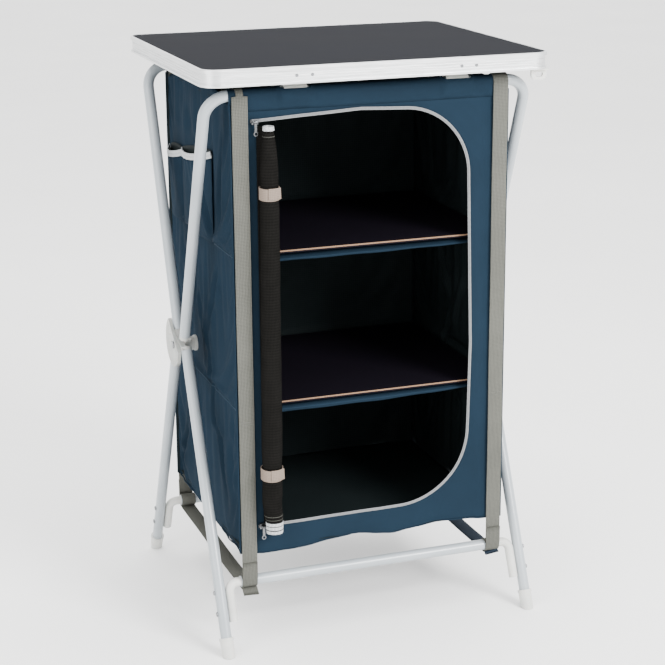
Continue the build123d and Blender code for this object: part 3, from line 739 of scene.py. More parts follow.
def pinch(z, lines, over, least):
    """1 well away from the sewn lines at those heights, down to the least share on them."""
    share = np.ones(z.shape)
    for line in lines:
        share = share * np.clip(np.abs(z - line) / over, least, 1)
    return share


def on_seam(z):
    return np.min([np.abs(z - s) for s in SEAM_ZS], axis=0) < 0.5


print("rows of a side wall:", len(wall_rows(HEM_LOW, SIDE_TOP, 5.6)))

# %% [markdown]
# ## The left wall's own creases
# In the photograph the left wall has a deep crease that runs down from the front pocket's corner, and slacker
# slanting ones below it. A simulation never puts a fold just there, so each is a bent line with a width and a
# depth, pressed into the wall once it has settled. The right wall gets the same ones mirrored.

# %% Creases
# a bent line of (y, z) points, its width and its depth
CREASES = [
    ([(-12, 744), (-46, 716), (-76, 691)], 5.6, 6.1), ([(-97, 652), (-82, 609), (-24, 515)], 6.9, 5.5),
    ([(38, 580), (14, 520), (-6, 473)], 6.9, 5.1),
    ([(-21, 507), (-56, 440), (-51, 364), (-95, 336), (-126, 233)], 6.5, 5.9), ([(124, 286), (172, 190)], 6.9, 4.9),
    ([(-150, 905), (-128, 800), (-112, 706)], 7.7, 4.4), ([(120, 640), (84, 560), (92, 470)], 10.3, 4.1),
    ([(20, 400), (52, 320), (40, 230)], 11.2, 3.9), ([(-170, 400), (-150, 330), (-160, 250)], 8.6, 3.2),
    ([(100, 930), (60, 850)], 17.2, 2.9),
]
LIP_SHARE, LIP_AWAY = 0.6, 1.9


def pocket_zone(y, z):
    """1 where the wall lies behind the pockets, 0 well away from them."""
    across = np.clip(np.minimum(y + 100, 196 - y) / 14, 0, 1)
    return across * np.clip(np.minimum(z - 690, 862 - z) / 14, 0, 1)


def crease_depth(y, z, side):
    """Depth of the drawn valleys, each a bent line of (y, z) points with a width and a depth in millimetres."""
    out = np.zeros(np.shape(y))
    for line, width, depth in CREASES:
        line = np.array(line, float) * (-1 if side > 0 else 1, 1)
        run = run_of(line)
        away, share = np.full(np.shape(y), 1e9), np.zeros(np.shape(y))
        for k, (p, q) in enumerate(zip(line, line[1:])):
            d = q - p
            t = np.clip(((y - p[0]) * d[0] + (z - p[1]) * d[1]) / (d @ d), 0, 1)
            near = np.hypot(y - p[0] - t * d[0], z - p[1] - t * d[1])
            share = np.where(near < away, (run[k] + t * (run[k + 1] - run[k])) / run[-1], share)
            away = np.minimum(away, near)
        fade = depth * np.clip(np.sin(math.pi * share) * 1.8, 0, 1)
        out = out - fade * np.exp(-(away / width) ** 2)
        out = out + LIP_SHARE * fade * np.exp(-((away - LIP_AWAY * width) / width) ** 2)
    return out


print("creases drawn:", len(CREASES))

# %% Side walls
SIDE_X, SIDE_HALF = 240.0, 199.0
TOP_RISE = 16.0
SIDE_COLUMNS, SIDE_STEP = 83, 5.6
SIDE_FRAMES, SIDE_SLACK = 26, 0.018
WAVE_IN, WAVE_OUT = -4.5, 6.0
UP = (0.0, 0.0, 1.0)


def seam_threads(piece, side, zs):
    """A thin light line of thread along each seam of a side wall, laid on the wall as it came out."""
    co = places(piece.data).reshape(-1, len(zs), 3) / MM
    for s in SEAM_ZS:
        line = co[::2, int(np.argmin(np.abs(zs - s)))] + (side * 0.5, 0, 0)
        name = f"side_seam_{'left' if side < 0 else 'right'}_{'upper' if s > 500 else 'lower'}"
        sew(ribbon(name, line, UP, bar_section(0.8, 0.5)), DYED_THREAD, "cabinet")


def hem_wave(y):
    """How the free hem of a side wall moves in and out."""
    return 1.8 * np.sin(y / 21 + 1.2) + 0.9 * np.sin(y / 8)


def side_wall(name, side):
    zs = wall_rows(HEM_LOW, SIDE_TOP, SIDE_STEP)
    y, z = np.meshgrid(np.linspace(-SIDE_HALF, SIDE_HALF, SIDE_COLUMNS), zs, indexing="ij")
    edge = np.clip((SIDE_HALF - np.abs(y)) / 30, 0, 1)
    tight = pinch(z, (*SEAM_ZS, HEM_LOW, SIDE_TOP), 22, 0.12)
    calm = 1 - 0.8 * pocket_zone(y, z) if side < 0 else np.ones(z.shape)
    d = (1.3 * ripple(y, z, 70, 11.0 + side) + 0.7 * ripple(y, z, 26, 21.0 + side)) * edge * tight
    fold = crease_depth(y, z, side) * calm * edge * np.clip(tight * 2.5, 0.45, 1)
    d = d + 1.1 * np.sin(y / 9.5 + side) * np.exp(-(SIDE_TOP - z) / 18) * edge
    d = d + np.exp(-(z - HEM_LOW) / 24) * hem_wave(y) * edge
    x = side * (SIDE_X + np.clip(d, WAVE_IN, WAVE_OUT))
    x = np.where(calm < 0.5, np.sign(x) * np.minimum(np.abs(x), SIDE_X + 1.5), x)
    wide = (WALL_Y - 0.9 + (BAR_Z - z) * math.tan(LEAN)) / SIDE_HALF
    rise = np.clip((z - 900) / (SIDE_TOP - 900), 0, 1) * TOP_RISE * (1 - np.minimum(np.abs(y) / 178, 1) ** 4)
    piece = grid(name, np.dstack([x, y * wide, z + rise])[::side], np.dstack([y, z])[::side])
    pinned = (np.abs(y) > SIDE_HALF - 0.5) | (z > SIDE_TOP - 0.5) | on_seam(z)
    order = np.arange(y.size).reshape(y.shape)
    cap = (4.5, 8.0)[::side]
    depth = settle(piece, order[pinned[::side]], SIDE_FRAMES, SIDE_SLACK, 0, *cap, calm[::side].ravel())
    co = places(piece.data)
    co[:, 0] += side * (fold[::side].ravel() * MM).astype(np.float32)
    co[:, 0] = side * np.clip(side * co[:, 0], (SIDE_X - 5.0) * MM, (SIDE_X + 9.0) * MM)
    move_to(piece.data, co)
    seam_threads(piece, side, zs)
    print(name, "settled to", round(depth, 1), "mm from its pattern")
    return piece


for hand, side in (("left", -1), ("right", 1)):
    piece = side_wall(f"side_wall_{hand}_cloth", side)
    sew(piece, POLYESTER, "cabinet", [f"side_panel_{hand}"], LINING, 0.9)


# %% Back wall
STRAP_IN = 214
BACK_FRAMES, BACK_SLACK, BACK_LIMIT = 24, 0.012, 4.5


def back_wall():
    xs, zs = np.linspace(-WALL_HALF, WALL_HALF, 64), wall_rows(HEM_LOW, WALL_TOP, 8.0)
    x, z = np.meshgrid(xs, zs, indexing="ij")
    free = np.clip((STRAP_IN - np.abs(x)) / 20, 0, 1)
    tight = pinch(z, (*SEAM_ZS, WALL_TOP), 20, 0.15)
    d = (1.1 * ripple(x, z, 80, 31.0) + 0.6 * ripple(x, z, 28, 37.0)) * free * tight
    d = d + np.exp(-(z - HEM_LOW) / 30) * (1.8 * np.sin(x / 24) + 0.8 * np.sin(x / 9.0)) * free
    points = lean(np.dstack([x, WALL_Y + np.clip(d, -3, 2.2), z]), 1)
    piece = grid("back_wall_cloth", points[::-1], np.dstack([x, z])[::-1])
    pinned = (np.abs(x) > STRAP_IN) | (z > WALL_TOP - 0.5) | on_seam(z)
    order = np.arange(x.size).reshape(x.shape)
    depth = settle(piece, order[pinned[::-1]], BACK_FRAMES, BACK_SLACK, 1, BACK_LIMIT, BACK_LIMIT)
    print("back wall settled to", round(depth, 1), "mm")
    return piece


back = back_wall()
sew(back, POLYESTER, "rear_wall", ["back_panel"], LINING, 0.9)
print("back wall faces:", len(back.data.polygons))

# %% [markdown]
# ## Roof, floor and shelf sleeves
# Inside, coated lining closes the box above and below, and each shelf lies on a sleeve: one strip of cloth that
# comes down behind the wall, runs under the board and comes down again at the far side. It hangs a little below
# the board's front edge, so a dark gap shows between the two, and its flap turns under, deeper at the left.

# %% Inner cloths
INNER_HALF, BOARD_HALF = 235.8, 185.0
# height of the underside, depth of the flap, how much lower it hangs at the left, droop of the edges
SHELVES = {"upper": (682.0, 3.0, 2.4, 7.0), "lower": (420.0, 3.5, 5.6, 5.2)}


def inner_sheet(name, height, sag, node):
    deep = WALL_Y - 1.2 + (BAR_Z - height) * math.tan(LEAN)
    xs, ys = np.linspace(-SIDE_X + 0.8, SIDE_X - 0.8, 50), np.linspace(-deep, deep, 44)
    x, y = np.meshgrid(xs, ys, indexing="ij")
    bowl = np.cos(x / SIDE_X * math.pi / 2) * np.cos(y / deep * math.pi / 2)
    z = height + 0.75 - sag * bowl + 0.5 * ripple(x, y, 60, height)
    piece = grid(name, np.dstack([x, y, z]), np.dstack([x, y]))
    sew(piece, LINING, "cabinet", [node], AUBERGINE, 0.8, 0.0)


def sleeve(which):
    under, flap, left_sag, droop = SHELVES[which]
    turn = [(0, 0), (1.6, 0.5), (1.8, 0.3 * flap), (0.8, 0.7 * flap), (-1.4, flap)]
    edge = [(BOARD_HALF + out, -down - 0.7) for out, down in turn]
    path = np.array([(-y, z) for y, z in edge[::-1]] + [(y, -0.7) for y in np.linspace(-170, 170, 22)] + edge)
    x, y = np.meshgrid(np.linspace(-INNER_HALF, INNER_HALF, 90), path[:, 0], indexing="ij")
    drop, run = (np.repeat(v[None], len(x), axis=0) for v in (path[:, 1], run_of(path)))
    loose = droop * np.clip((np.abs(y) - 150) / 32, 0, 1) * np.clip((260 - np.abs(x)) / 60, 0.3, 1)
    sag = left_sag * np.clip((190 - x) / 170, 0, 1) ** 0.8 + 0.4 * np.sin(x / 17) + 0.3
    z = under + drop - loose - np.clip(-drop / flap, 0, 1) * sag
    piece = grid(f"shelf_sleeve_{which}_cloth", np.dstack([x, y, z]), np.dstack([x, run]))
    sew(piece, POLYESTER, "cabinet", [f"shelf_sleeve_{which}"], LINING, 0.7)


inner_sheet("roof_cloth", 932.0, 2.0, "top_panel")
inner_sheet("floor_cloth", 172.0, 3.0, "bottom_panel")
for which in SHELVES:
    sleeve(which)
print("inner cloths sewn:", 2 + len(SHELVES))

# %% [markdown]
# ## The two side pockets
# Each pocket is a flat pouch whose mouth is drawn in by elastic. The cloth bulges most just under the mouth and
# runs flat to the seam below. Where the elastic gathers it, it stands in small pleats that die out downwards. A
# dark sheet on the wall behind each mouth is painted shade for the pouch's shadowed inside, and a deep fold slants
# down to the front pocket's lower corner.

# %% Pocket shapes
POCKET_FOOT = 684.0
# front and rear end as y, the mouth's height at each, columns of points, pleats
POCKETS = {"rear": (97.0, 184.0, 815.0, 810.0, 34, 9), "front": (-86.0, 101.0, 842.0, 818.0, 56, 15)}
POCKET_X = SIDE_X + 3.6
POUCH_ROWS = 26
RIM_MM, RIM_SAG = 11.5, 6.5
# height and rows of the dark sheet behind each mouth, which is painted shade for the pouch's inside
SHADE_SHEET_MM, SHADE_SHEET_ROWS = 34, 6
FOLD_FROM, FOLD_TO = (-40.0, 786.0), (-80.0, 696.0)


def pouch_bulge(share_y, share_z, pleats):
    """Outward depth of a pocket at shares of its width and height, in millimetres."""
    belly = np.sin(math.pi * share_y) ** 0.8
    depth = belly * (6 + 7.5 * share_z ** 1.2)
    gather = 1.0 * np.sin(share_y * math.pi * pleats) * np.clip(share_z * 1.6 - 0.7, 0, 1) * belly
    slump = 2.6 * np.sin(share_y * math.pi * 2.4 + 0.6) * np.sin(share_z * math.pi) * belly
    return depth + gather + slump


def slant_fold(y, z):
    """Depth of the slanting fold, with the lip of cloth that hangs over it."""
    (y_a, z_a), (y_b, z_b) = FOLD_FROM, FOLD_TO
    length = math.hypot(y_b - y_a, z_b - z_a)
    along = ((y - y_a) * (y_b - y_a) + (z - z_a) * (z_b - z_a)) / length ** 2
    across = ((y - y_a) * (z_b - z_a) - (z - z_a) * (y_b - y_a)) / length
    strong = np.clip(np.sin(math.pi * np.clip(along, 0, 1)) * 2, 0, 1)
    return strong * (4.5 * np.exp(-((across + 11) / 7) ** 2) - 7.5 * np.exp(-(across / 6) ** 2))


print("pocket mouths stand out by", round(float(pouch_bulge(0.5, 1.0, 15)), 1), "mm")

# %% Pockets
def pocket(which):
    y0, y1, z0, z1, n, pleats = POCKETS[which]
    s = np.linspace(0, 1, n)
    rim_y, rim_z = y0 + (y1 - y0) * s, z0 + (z1 - z0) * s
    dip = RIM_SAG * np.sin(math.pi * s) ** 0.7
    sy, sz = np.meshgrid(s, np.linspace(0, 1, POUCH_ROWS), indexing="ij")
    y = np.repeat(rim_y[:, None], POUCH_ROWS, axis=1)
    z = POCKET_FOOT + ((rim_z - RIM_MM - dip)[:, None] - POCKET_FOOT) * sz
    out = pouch_bulge(sy, sz, pleats) + 0.8 * ripple(y, z, 22, 5.0)
    if which == "front":
        out = out + slant_fold(y, z)
    body = grid(f"side_pocket_{which}_cloth", np.dstack([-(POCKET_X + out), y, z])[::-1], np.dstack([y, z])[::-1])
    sew(body, POLYESTER, "cabinet", [f"side_pocket_{which}"], LINING, 0.9)
    line = np.stack([-(POCKET_X + pouch_bulge(s, np.ones(n), pleats) + 0.4), rim_y, rim_z - RIM_MM / 2 - dip], axis=1)
    rim = ribbon(f"pocket_rim_{which}_elastic", line, UP, bar_section(RIM_MM, 1.8))
    sew(rim, ELASTIC, "cabinet", [f"pocket_rim_{which}"])
    # a dark sheet of lining just behind the mouth and a little above it: painted shade for the inside of the pouch
    top = rim_z + 5.0 * np.sin(math.pi * s) ** 0.6
    shade_sheet_z = np.linspace(top - SHADE_SHEET_MM, top, SHADE_SHEET_ROWS).T
    shade_sheet_x = -(SIDE_X + 2.6 + 0.9 * np.linspace(1, 0, SHADE_SHEET_ROWS)[None] * np.sin(math.pi * s)[:, None])
    shade_sheet_y = np.repeat(rim_y[:, None], SHADE_SHEET_ROWS, axis=1)
    points, flat = np.dstack([shade_sheet_x, shade_sheet_y, shade_sheet_z]), np.dstack([shade_sheet_y, shade_sheet_z])
    shade_sheet = grid(f"side_pocket_{which}_painted_shade_sheet", points[::-1], flat[::-1])
    sew(shade_sheet, LINING, "cabinet", (), None, 0.5, 0.0)
    print("pocket", which, "stands out", round(float(out.max()), 1), "mm")


for which in POCKETS:
    pocket(which)

# %% [markdown]
# ## The rolled door
# The mesh door is opened by its zip, rolled up sideways and held by two tapes. It is one sheet: a short flap comes
# off the wall and then winds inwards in a spiral, with the half of the zip on its edge showing as pale folds at
# each end. Mesh rolled by hand is never a clean tube, so its radius wanders, and the tapes bite into it.

# %% Rolled door
ROLL_XS = ((228.0, 262.0, 400.0, 800.0), (-188.5, -192.0, -190.0, -187.0))
ROLL_Y = -(203.35 + 1.2 + 19.5)
ROLL_Z, ROLL_R = zip(
    (226, 13.6), (240, 15.6), (285, 17.4), (316, 15.4), (350, 17.4), (420, 17.0), (600, 16.0), (765, 15.4),
    (794, 13.4), (825, 14.6), (860, 13.0), (898, 8.6),
)
TURNS = np.linspace(0.0, 2.35, 100)
TURN_IN, ROLL_WIDER = 1.7, 1.06
FLAP_X, FLAP_Y, FLAP_STEPS = -201.0, -204.6, 8


def roll_x(z):
    return float(np.interp(z, *ROLL_XS))


def roll_radius(z):
    total = np.zeros(np.shape(z))
    for shift in (-8, -4, 0, 4, 8):
        total = total + np.interp(np.asarray(z, float) + shift, ROLL_Z, ROLL_R)
    return total / 5


def rolled(z, turn):
    """A point of the roll at height z, so many turns in from where the flap meets it."""
    angle = math.pi / 2 + turn * 2 * math.pi
    c, s = math.cos(angle), math.sin(angle)
    swell = noise.noise(Vector((c * 1.3, s * 1.3, z / 55.0 + turn * 0.3)))
    swell += 0.5 * noise.noise(Vector((c * 3.2, s * 3.2, z / 24.0 + 9.0)))
    r = (roll_radius(z) - TURN_IN * turn) * (1 + 0.055 * swell)
    angle = math.pi / 2 - turn * 2 * math.pi
    return roll_x(z) + ROLL_WIDER * r * np.cos(angle), ROLL_Y + r * np.sin(angle)


def roll_grid(name, zs, out=0.0, flap_n=0):
    """The rolled sheet between some heights, drawn as a spiral, with or without the flap that joins it to the wall."""
    z = np.repeat(np.asarray(zs)[:, None], flap_n + len(TURNS), axis=1)
    x, y, u = np.zeros(z.shape), np.zeros(z.shape), np.zeros(z.shape)
    for i, height in enumerate(zs):
        to_x, to_y = roll_x(height) - 3.0, ROLL_Y + roll_radius(height)
        steps = [j / flap_n for j in range(flap_n)]
        pts = [(FLAP_X + (to_x - FLAP_X) * f, FLAP_Y + (to_y - FLAP_Y) * f ** 2) for f in steps]
        pts = np.array(pts + [rolled(height, t) for t in TURNS])
        if out:
            pts = pts + unit(pts - np.array([roll_x(height), ROLL_Y])) * out
        x[i], y[i], u[i] = pts[:, 0], pts[:, 1], run_of(pts)
    return grid(name, lean(np.dstack([x, y, z]), -1), np.dstack([u, z])), float(u[:, -1].mean())


door_roll, roll_width = roll_grid("mesh_door_rolled", np.linspace(209, 900, 130), flap_n=FLAP_STEPS)
sew(door_roll, MESH, "front_wall", ["mesh_door_roll"], None, 0.8, 0.0)
print("rolled door:", round(roll_width), "mm of mesh wound up")

# %% Tapes and threads on the door's ends
# name, lower and upper edge, how far it stands out of the mesh, material
ROLL_BANDS = [
    ("door_edge_tape_top", 895.5, 902.5, 0.7, ELASTIC), ("door_edge_tape_low_1", 221.5, 227.0, 0.8, ELASTIC),
    ("door_edge_tape_low_2", 214.5, 220.0, 0.6, ELASTIC), ("door_edge_tape_low_3", 207.0, 212.5, 0.2, ELASTIC),
    ("door_hem_thread_top", 886.0, 886.6, 0.3, WEBBING), ("door_hem_thread_low", 232.5, 233.1, 0.3, WEBBING),
    ("door_hem_thread_low_2", 239.0, 239.6, 0.3, WEBBING),
]
for name, low, high, out, material in ROLL_BANDS:
    piece, _ = roll_grid(name, np.linspace(low, high, 5), out)
    sew(piece, material, "front_wall", (), None, 0.7, 0.0)

# %% [markdown]
# ## The two ties
# A short cotton tape goes round the roll at each height and laps over itself in front, where it is held by a press
# of hook tape. One ribbon goes all the way round and a second one is the lap, a little proud, with its end free.

# %% The two ties
TIES = {"lower": 305.0, "upper": 784.0}
TIE_W, TIE_T, TIE_POINTS, LAP_POINTS = 20.0, 1.3, 49, 18


def round_roll(middle, radius, angles, z):
    x = roll_x(middle) + ROLL_WIDER * radius * np.cos(angles)
    return np.stack([x, ROLL_Y + radius * np.sin(angles), z], axis=1)


def tie(which):
    middle = TIES[which] + TIE_W / 2
    r = float(roll_radius(middle)) + 1.7
    angles = np.linspace(0, 2 * math.pi, TIE_POINTS)
    wobble = 1 + 0.02 * np.sin(3 * angles + 1)
    line = round_roll(middle, r * wobble, angles, np.full(TIE_POINTS, middle) + 1.2 * np.sin(angles))
    band = ribbon(f"roll_tie_{which}_tape", lean(line, -1), UP, bar_section(TIE_W, TIE_T))
    sew(band, TIE_TAPE, "front_wall", [f"roll_tie_{which}"])
    line = round_roll(middle, r + 1.5, np.linspace(-1.9, -0.75, LAP_POINTS), np.full(LAP_POINTS, middle + 0.8))
    line[-4:, 0] += [0.4, 1.0, 1.8, 2.8]
    over = ribbon(f"roll_tie_{which}_overlap", lean(line, -1), (0.0, 0.06, 1.0), bar_section(TIE_W - 1.5, TIE_T))
    sew(over, TIE_TAPE, "front_wall")


for which in TIES:
    tie(which)
print("ties:", len(TIES))

# %% [markdown]
# ## Webbing
# Flat polypropylene webbing carries the cloth: four upright straps, their loops round the crossbars and two straps
# that hold the feet together from front to back. Each goes round its bar and comes back on itself, where a row of
# thread crosses it. The left front strap is folded narrow where it rounds the bar, since the tube bends there.

# %% Strap sizes
TUBE_R = 9.5
STRAP_X, STRAP_W, STRAP_T = 228.0, 27.0, 1.6
STRAP_R = TUBE_R + 0.3 + STRAP_T / 2
STRAP_END = CROSS_Z + 13.0
NARROW_W, NARROW_POINTS = 12.5, 25
STITCH_ROWS = (403.0, 399.0, 146.0)
STITCHES, STITCH_R, STITCH_LONG = 9, 0.45 * 1.1, 1.9


def arc(row, middle_y, middle_z, radius, a0, a1, steps, x):
    """Points round a bar along X, angles in degrees from +Y towards +Z, mirrored to the front for row -1."""
    angles = np.radians(np.linspace(a0, a1, steps))
    return [(x, row * (middle_y + radius * math.cos(a)), middle_z + radius * math.sin(a)) for a in angles]


def stitches(name, points, out):
    """Rows of thread stitches across a strap, each a small raised capsule."""
    made = bmesh.new()
    across, out = Vector((1, 0, 0)), Vector(out)
    turn = across.to_track_quat("Z", "Y").to_matrix().to_4x4()
    for centre in points:
        for k in range(STITCHES):
            place = Vector(centre) + across * ((k + 0.5) / STITCHES - 0.5) * (STRAP_W - 3)
            spot = Matrix.Translation((place + out * 0.15) * MM) @ turn @ Matrix.Diagonal((1, 1, STITCH_LONG, 1))
            bmesh.ops.create_icosphere(made, subdivisions=1, radius=STITCH_R * MM, matrix=spot)
    mesh = bpy.data.meshes.new(name)
    made.to_mesh(mesh)
    made.free()
    mesh.polygons.foreach_set("use_smooth", [True] * len(mesh.polygons))
    return put(name, mesh)


def strap(name, line, across, body, replaced, spots, out, rests_on, section=None, material=WEBBING):
    """A length of webbing along a line, with its stitches, sewn. Gives its length in millimetres."""
    band = ribbon(name, line, across, bar_section(STRAP_W, STRAP_T) if section is None else section)
    thread = stitches(f"{name}_stitches", spots, out)
    sew(band, material, body, replaced)
    sew(thread, THREAD, body)
    if body is None:
        for piece in (band, thread):
            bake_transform(piece)
    length = float(run_of(line)[-1])
    return length


print("strap radius round a bar:", STRAP_R, "mm")

# %% Upright straps
def upright(name, row, side, replaced):
    x = side * STRAP_X
    radius = STRAP_R + (0.9 if row < 0 else 0.0)
    y_top = BAR_Y + radius
    y_end = y_top + (CROSS_Y - 0.5 - BAR_Y) * (BAR_Z - STRAP_END) / (BAR_Z - CROSS_Z)

    def place(z, proud):
        y = y_top + (y_end - y_top) * (BAR_Z - z) / (BAR_Z - STRAP_END)
        return (x, row * (y + proud + 0.5 * math.sin(z / 47.0 + side)), z)

    line = [(x, row * (BAR_Y - radius * 0.35), BAR_Z - radius - 10)] + arc(row, BAR_Y, BAR_Z, radius, 235, 0, 24, x)
    heights = [BAR_Z - 0.6, *np.linspace(BAR_Z - 4, BAR_Z - 60, 8), *np.linspace(BAR_Z - 90, STRAP_END, 40)]
    line = np.array(line + [place(z, 0.0) for z in heights])
    narrow = NARROW_POINTS if row < 0 and side < 0 else 0
    section = [bar_section(NARROW_W if k < narrow else STRAP_W, STRAP_T) for k in range(len(line))]
    spots = [place(z, STRAP_T / 2) for z in STITCH_ROWS]
    body, bar = ("front_wall", "front_top_frame") if row < 0 else ("rear_wall", "rear_top_frame")
    return strap(name, line, (-row, 0, 0), body, replaced, spots, (0, row, 0), [bar], section)


straps = [
    upright("front_strap_left_webbing", -1, -1, ["front_strap_left"]),
    upright("front_strap_right_webbing", -1, 1, ["front_strap_right"]),
    upright("rear_strap_left_webbing", 1, -1, ["rear_straps"]),
    upright("rear_strap_right_webbing", 1, 1, ()),
]
print("upright straps:", [round(v) for v in straps], "mm")

# %% Crossbar loops
def cross_loop(row, side):
    x = side * STRAP_X
    end, body = ("front", "frame_b") if row < 0 else ("rear", "frame_a")
    tail_y = CROSS_Y + STRAP_R + STRAP_T + 0.3
    tail = [(tail_y + 0.3, 37.5), (tail_y + 0.1, 28), (tail_y, 16), (tail_y - 0.2, 9), (CROSS_Y + STRAP_R + 0.5, 3)]
    line = [(x, row * y, CROSS_Z + up) for y, up in tail] + arc(row, CROSS_Y, CROSS_Z, STRAP_R, -8, -318, 30, x)
    replaced = [f"{end}_crossbar_loops"] if side < 0 else ()
    spots = [(x, row * (tail_y + STRAP_T / 2 + 0.1), CROSS_Z + 34)]
    name = f"{end}_loop_{'left' if side < 0 else 'right'}_webbing"
    return strap(name, np.array(line), (row, 0, 0), body, replaced, spots, (0, row, 0), [f"{end}_crossbar"])


loops = [cross_loop(row, side) for row in (-1, 1) for side in (-1, 1)]
print("crossbar loops:", [round(v) for v in loops], "mm")

# %% [markdown]
# ## Front-to-back straps
# Each runs under the floor from the rear crossbar to the front one and is turned up round it, with a short tail
# left hanging below the front bar. It joins both frame halves, but here it is attached to neither and keeps the
# place and shape it is drawn in.

# %% Depth straps
def depth_strap(side):
    x = side * STRAP_X
    low = CROSS_Z - (STRAP_R + STRAP_T + 0.5)
    r = CROSS_Z - low
    line = arc(1, CROSS_Y, CROSS_Z, r, 40, -90, 12, x)
    for y in np.linspace(CROSS_Y - 12, -CROSS_Y + 12, 40):
        line.append((x + 0.5 * math.sin(y / 40), y, low - 1.2 * math.cos(y / CROSS_Y * math.pi / 2)))
    line += arc(1, -CROSS_Y, CROSS_Z, r, 270, 238, 5, x)
    tail = 1.0 if side < 0 else 0.45
    for out, back, down in ((0.5, 13, 2.2), (1.0, 21, 5.5)):
        line.append((x + side * out, -CROSS_Y - back * tail, low - down * tail))
    # the right strap is drawn in the darker, bluer webbing
    hand, replaced, material = ("left", ["depth_straps"], WEBBING) if side < 0 else ("right", (), DARK_BLUE_WEBBING)
    return strap(f"depth_strap_{hand}_webbing", np.array(line), (1, 0, 0), None, replaced,
                 [(x, 26, low - 2.2), (x, 22, low - 2.2)], (0, 0, -1), ["rear_crossbar", "front_crossbar"],
                 material=material)


print("depth straps:", round(depth_strap(-1)), round(depth_strap(1)), "mm")

# %% [markdown]
# ## Hems and piping
# A cut edge is always turned and stitched, and it shows as a slightly thicker cord of cloth. Thin rolled edges go
# along the hem of the front and back walls and of the two sides, and up the four corners where walls are joined.

# %% Hems and corner seams
HEM_R, CORNER_R = 1.3, 1.5
HEM_POINTS, SIDE_POINTS, CORNER_POINTS = 110, 90, 60


def rolled_edge(name, line, radius, body, across=UP):
    sew(ribbon(name, line, across, tube_section(radius, 8)), POLYESTER, body)


hem_x = np.linspace(-WALL_HALF, WALL_HALF, HEM_POINTS)
rolled_edge("front_hem", on_wall(np.stack([hem_x, hem_z(hem_x) + 0.6], axis=1), 0.0), HEM_R, "front_wall")
back_line = np.stack([hem_x, np.full(HEM_POINTS, WALL_Y + 0.3), np.full(HEM_POINTS, HEM_LOW + 0.6)], axis=1)
rolled_edge("back_hem", lean(back_line, 1), HEM_R, "rear_wall")
ys = np.linspace(-SIDE_HALF, SIDE_HALF, SIDE_POINTS)
wave = np.clip(hem_wave(ys) * np.clip((SIDE_HALF - np.abs(ys)) / 30, 0, 1), WAVE_IN, WAVE_OUT)
zs = np.linspace(HEM_LOW + 2, 936.0, CORNER_POINTS)
for side, hand in ((-1, "left"), (1, "right")):
    side_line = np.stack([side * (SIDE_X + wave), ys, np.full(SIDE_POINTS, HEM_LOW + 0.4)], axis=1)
    rolled_edge(f"side_hem_{hand}", side_line, HEM_R, "cabinet")
    for row, end, body in ((-1, "front", "front_wall"), (1, "back", "rear_wall")):
        at = (side * (WALL_HALF + 0.3), row * (WALL_Y + 0.5))
        corner = np.stack([np.full(CORNER_POINTS, v) for v in at] + [zs], axis=1)
        rolled_edge(f"corner_seam_{end}_{hand}", lean(corner, row), CORNER_R, body, (1.0, 0.0, 0.0))
print("side hems wave by up to", round(float(np.abs(wave).max()), 1), "mm")

# %% [markdown]
# ## Studio
# The photograph is a cut-out on white. A wide pale floor and an even white sky give that, with a broad soft lamp
# from the front right as the main light, a weaker one on the left and a wide one above, so that the right face
# of the table's edge shines and its left face is a little darker.

# %% Floor
FLOOR_EDGES = (-30, 30, -30, 60)


def pale_floor():
    clouds = {"Scale": 1.5, "Detail": 3.0}
    surface = {"Roughness": 0.9, "Specular IOR Level": 0.1}
    mesh = bpy.data.meshes.new("studio_floor")
    left, right, near, far = FLOOR_EDGES
    corners = [(left, near), (right, near), (right, far), (left, far)]
    mesh.from_pydata([(x, y, -0.0005) for x, y in corners], [], [(0, 1, 2, 3)])
    mesh.materials.append(hard_skin("pale_floor_paint", surface, clouds, [(0.3, "F4F4F3"), (0.7, "F8F8F7")]))
    put("studio_floor", mesh)


pale_floor()
print("floor laid")

# %% Lights
SUBJECT = Vector((0, 0, 0.55))
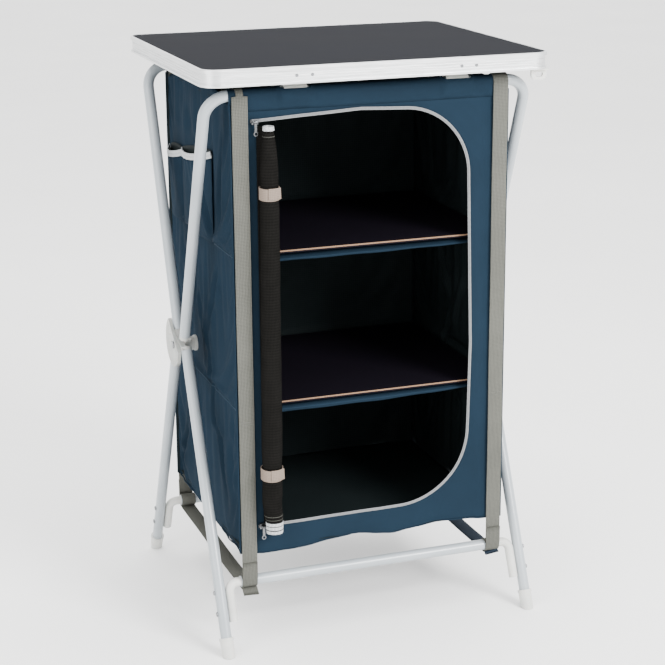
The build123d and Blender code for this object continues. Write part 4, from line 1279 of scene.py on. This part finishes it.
# place and size in metres, power in watts
LAMPS = {
    "key_softbox": ((1.6, -3.2, 2.3), 1.5, 310), "fill_softbox": ((-3.2, -1.6, 1.7), 2.4, 80),
    "top_softbox": ((0.2, 0.6, 3.4), 2.6, 60),
}
SKY = 2.5
for name, (place, size, watts) in LAMPS.items():
    data = bpy.data.lights.new(name, "AREA")
    data.shape = "RECTANGLE"
    data.size, data.size_y = size, size
    data.energy = watts
    softbox = put(name, data)
    softbox.location = place
    softbox.rotation_euler = (SUBJECT - Vector(place)).to_track_quat("-Z", "Y").to_euler()
world = bpy.data.worlds.new("white_studio")
bpy.context.scene.world = world
world.use_nodes = True
world.node_tree.nodes["Background"].inputs["Color"].default_value = hex_rgb("FFFFFF")
world.node_tree.nodes["Background"].inputs["Strength"].default_value = SKY
print("lamps:", len(LAMPS))

# %% [markdown]
# ## Camera
# The camera stands where the photograph was taken from. Its place, turn and focal length were worked out from
# straight edges in the photograph, such as the table's sides, the crossbars and the legs.

# %% Camera
CAMERA_MM = (-1024.76, -2881.09, 1382.27)
YAW, PITCH, ROLL_ANGLE = (math.radians(v) for v in (19.574, 16.467, -0.35))
PIXELS, FOCAL_PIXELS, SENSOR_MM = 665, 1761.4, 36.0
ahead = Vector((math.sin(YAW) * math.cos(PITCH), math.cos(YAW) * math.cos(PITCH), -math.sin(PITCH)))
level = Vector((math.cos(YAW), -math.sin(YAW), 0))
upward = level.cross(ahead)
right = level * math.cos(ROLL_ANGLE) + upward * math.sin(ROLL_ANGLE)
up = upward * math.cos(ROLL_ANGLE) - level * math.sin(ROLL_ANGLE)
lens = bpy.data.cameras.new("photo_camera")
lens.sensor_width = SENSOR_MM
lens.lens = FOCAL_PIXELS / PIXELS * SENSOR_MM
lens.clip_start, lens.clip_end = 0.1, 100.0
camera = put("photo_camera", lens)
camera.matrix_world = Matrix.Translation(Vector(CAMERA_MM) * MM) @ Matrix((right, up, -ahead)).transposed().to_4x4()
bpy.context.scene.camera = camera
print("lens:", round(lens.lens, 1), "mm")
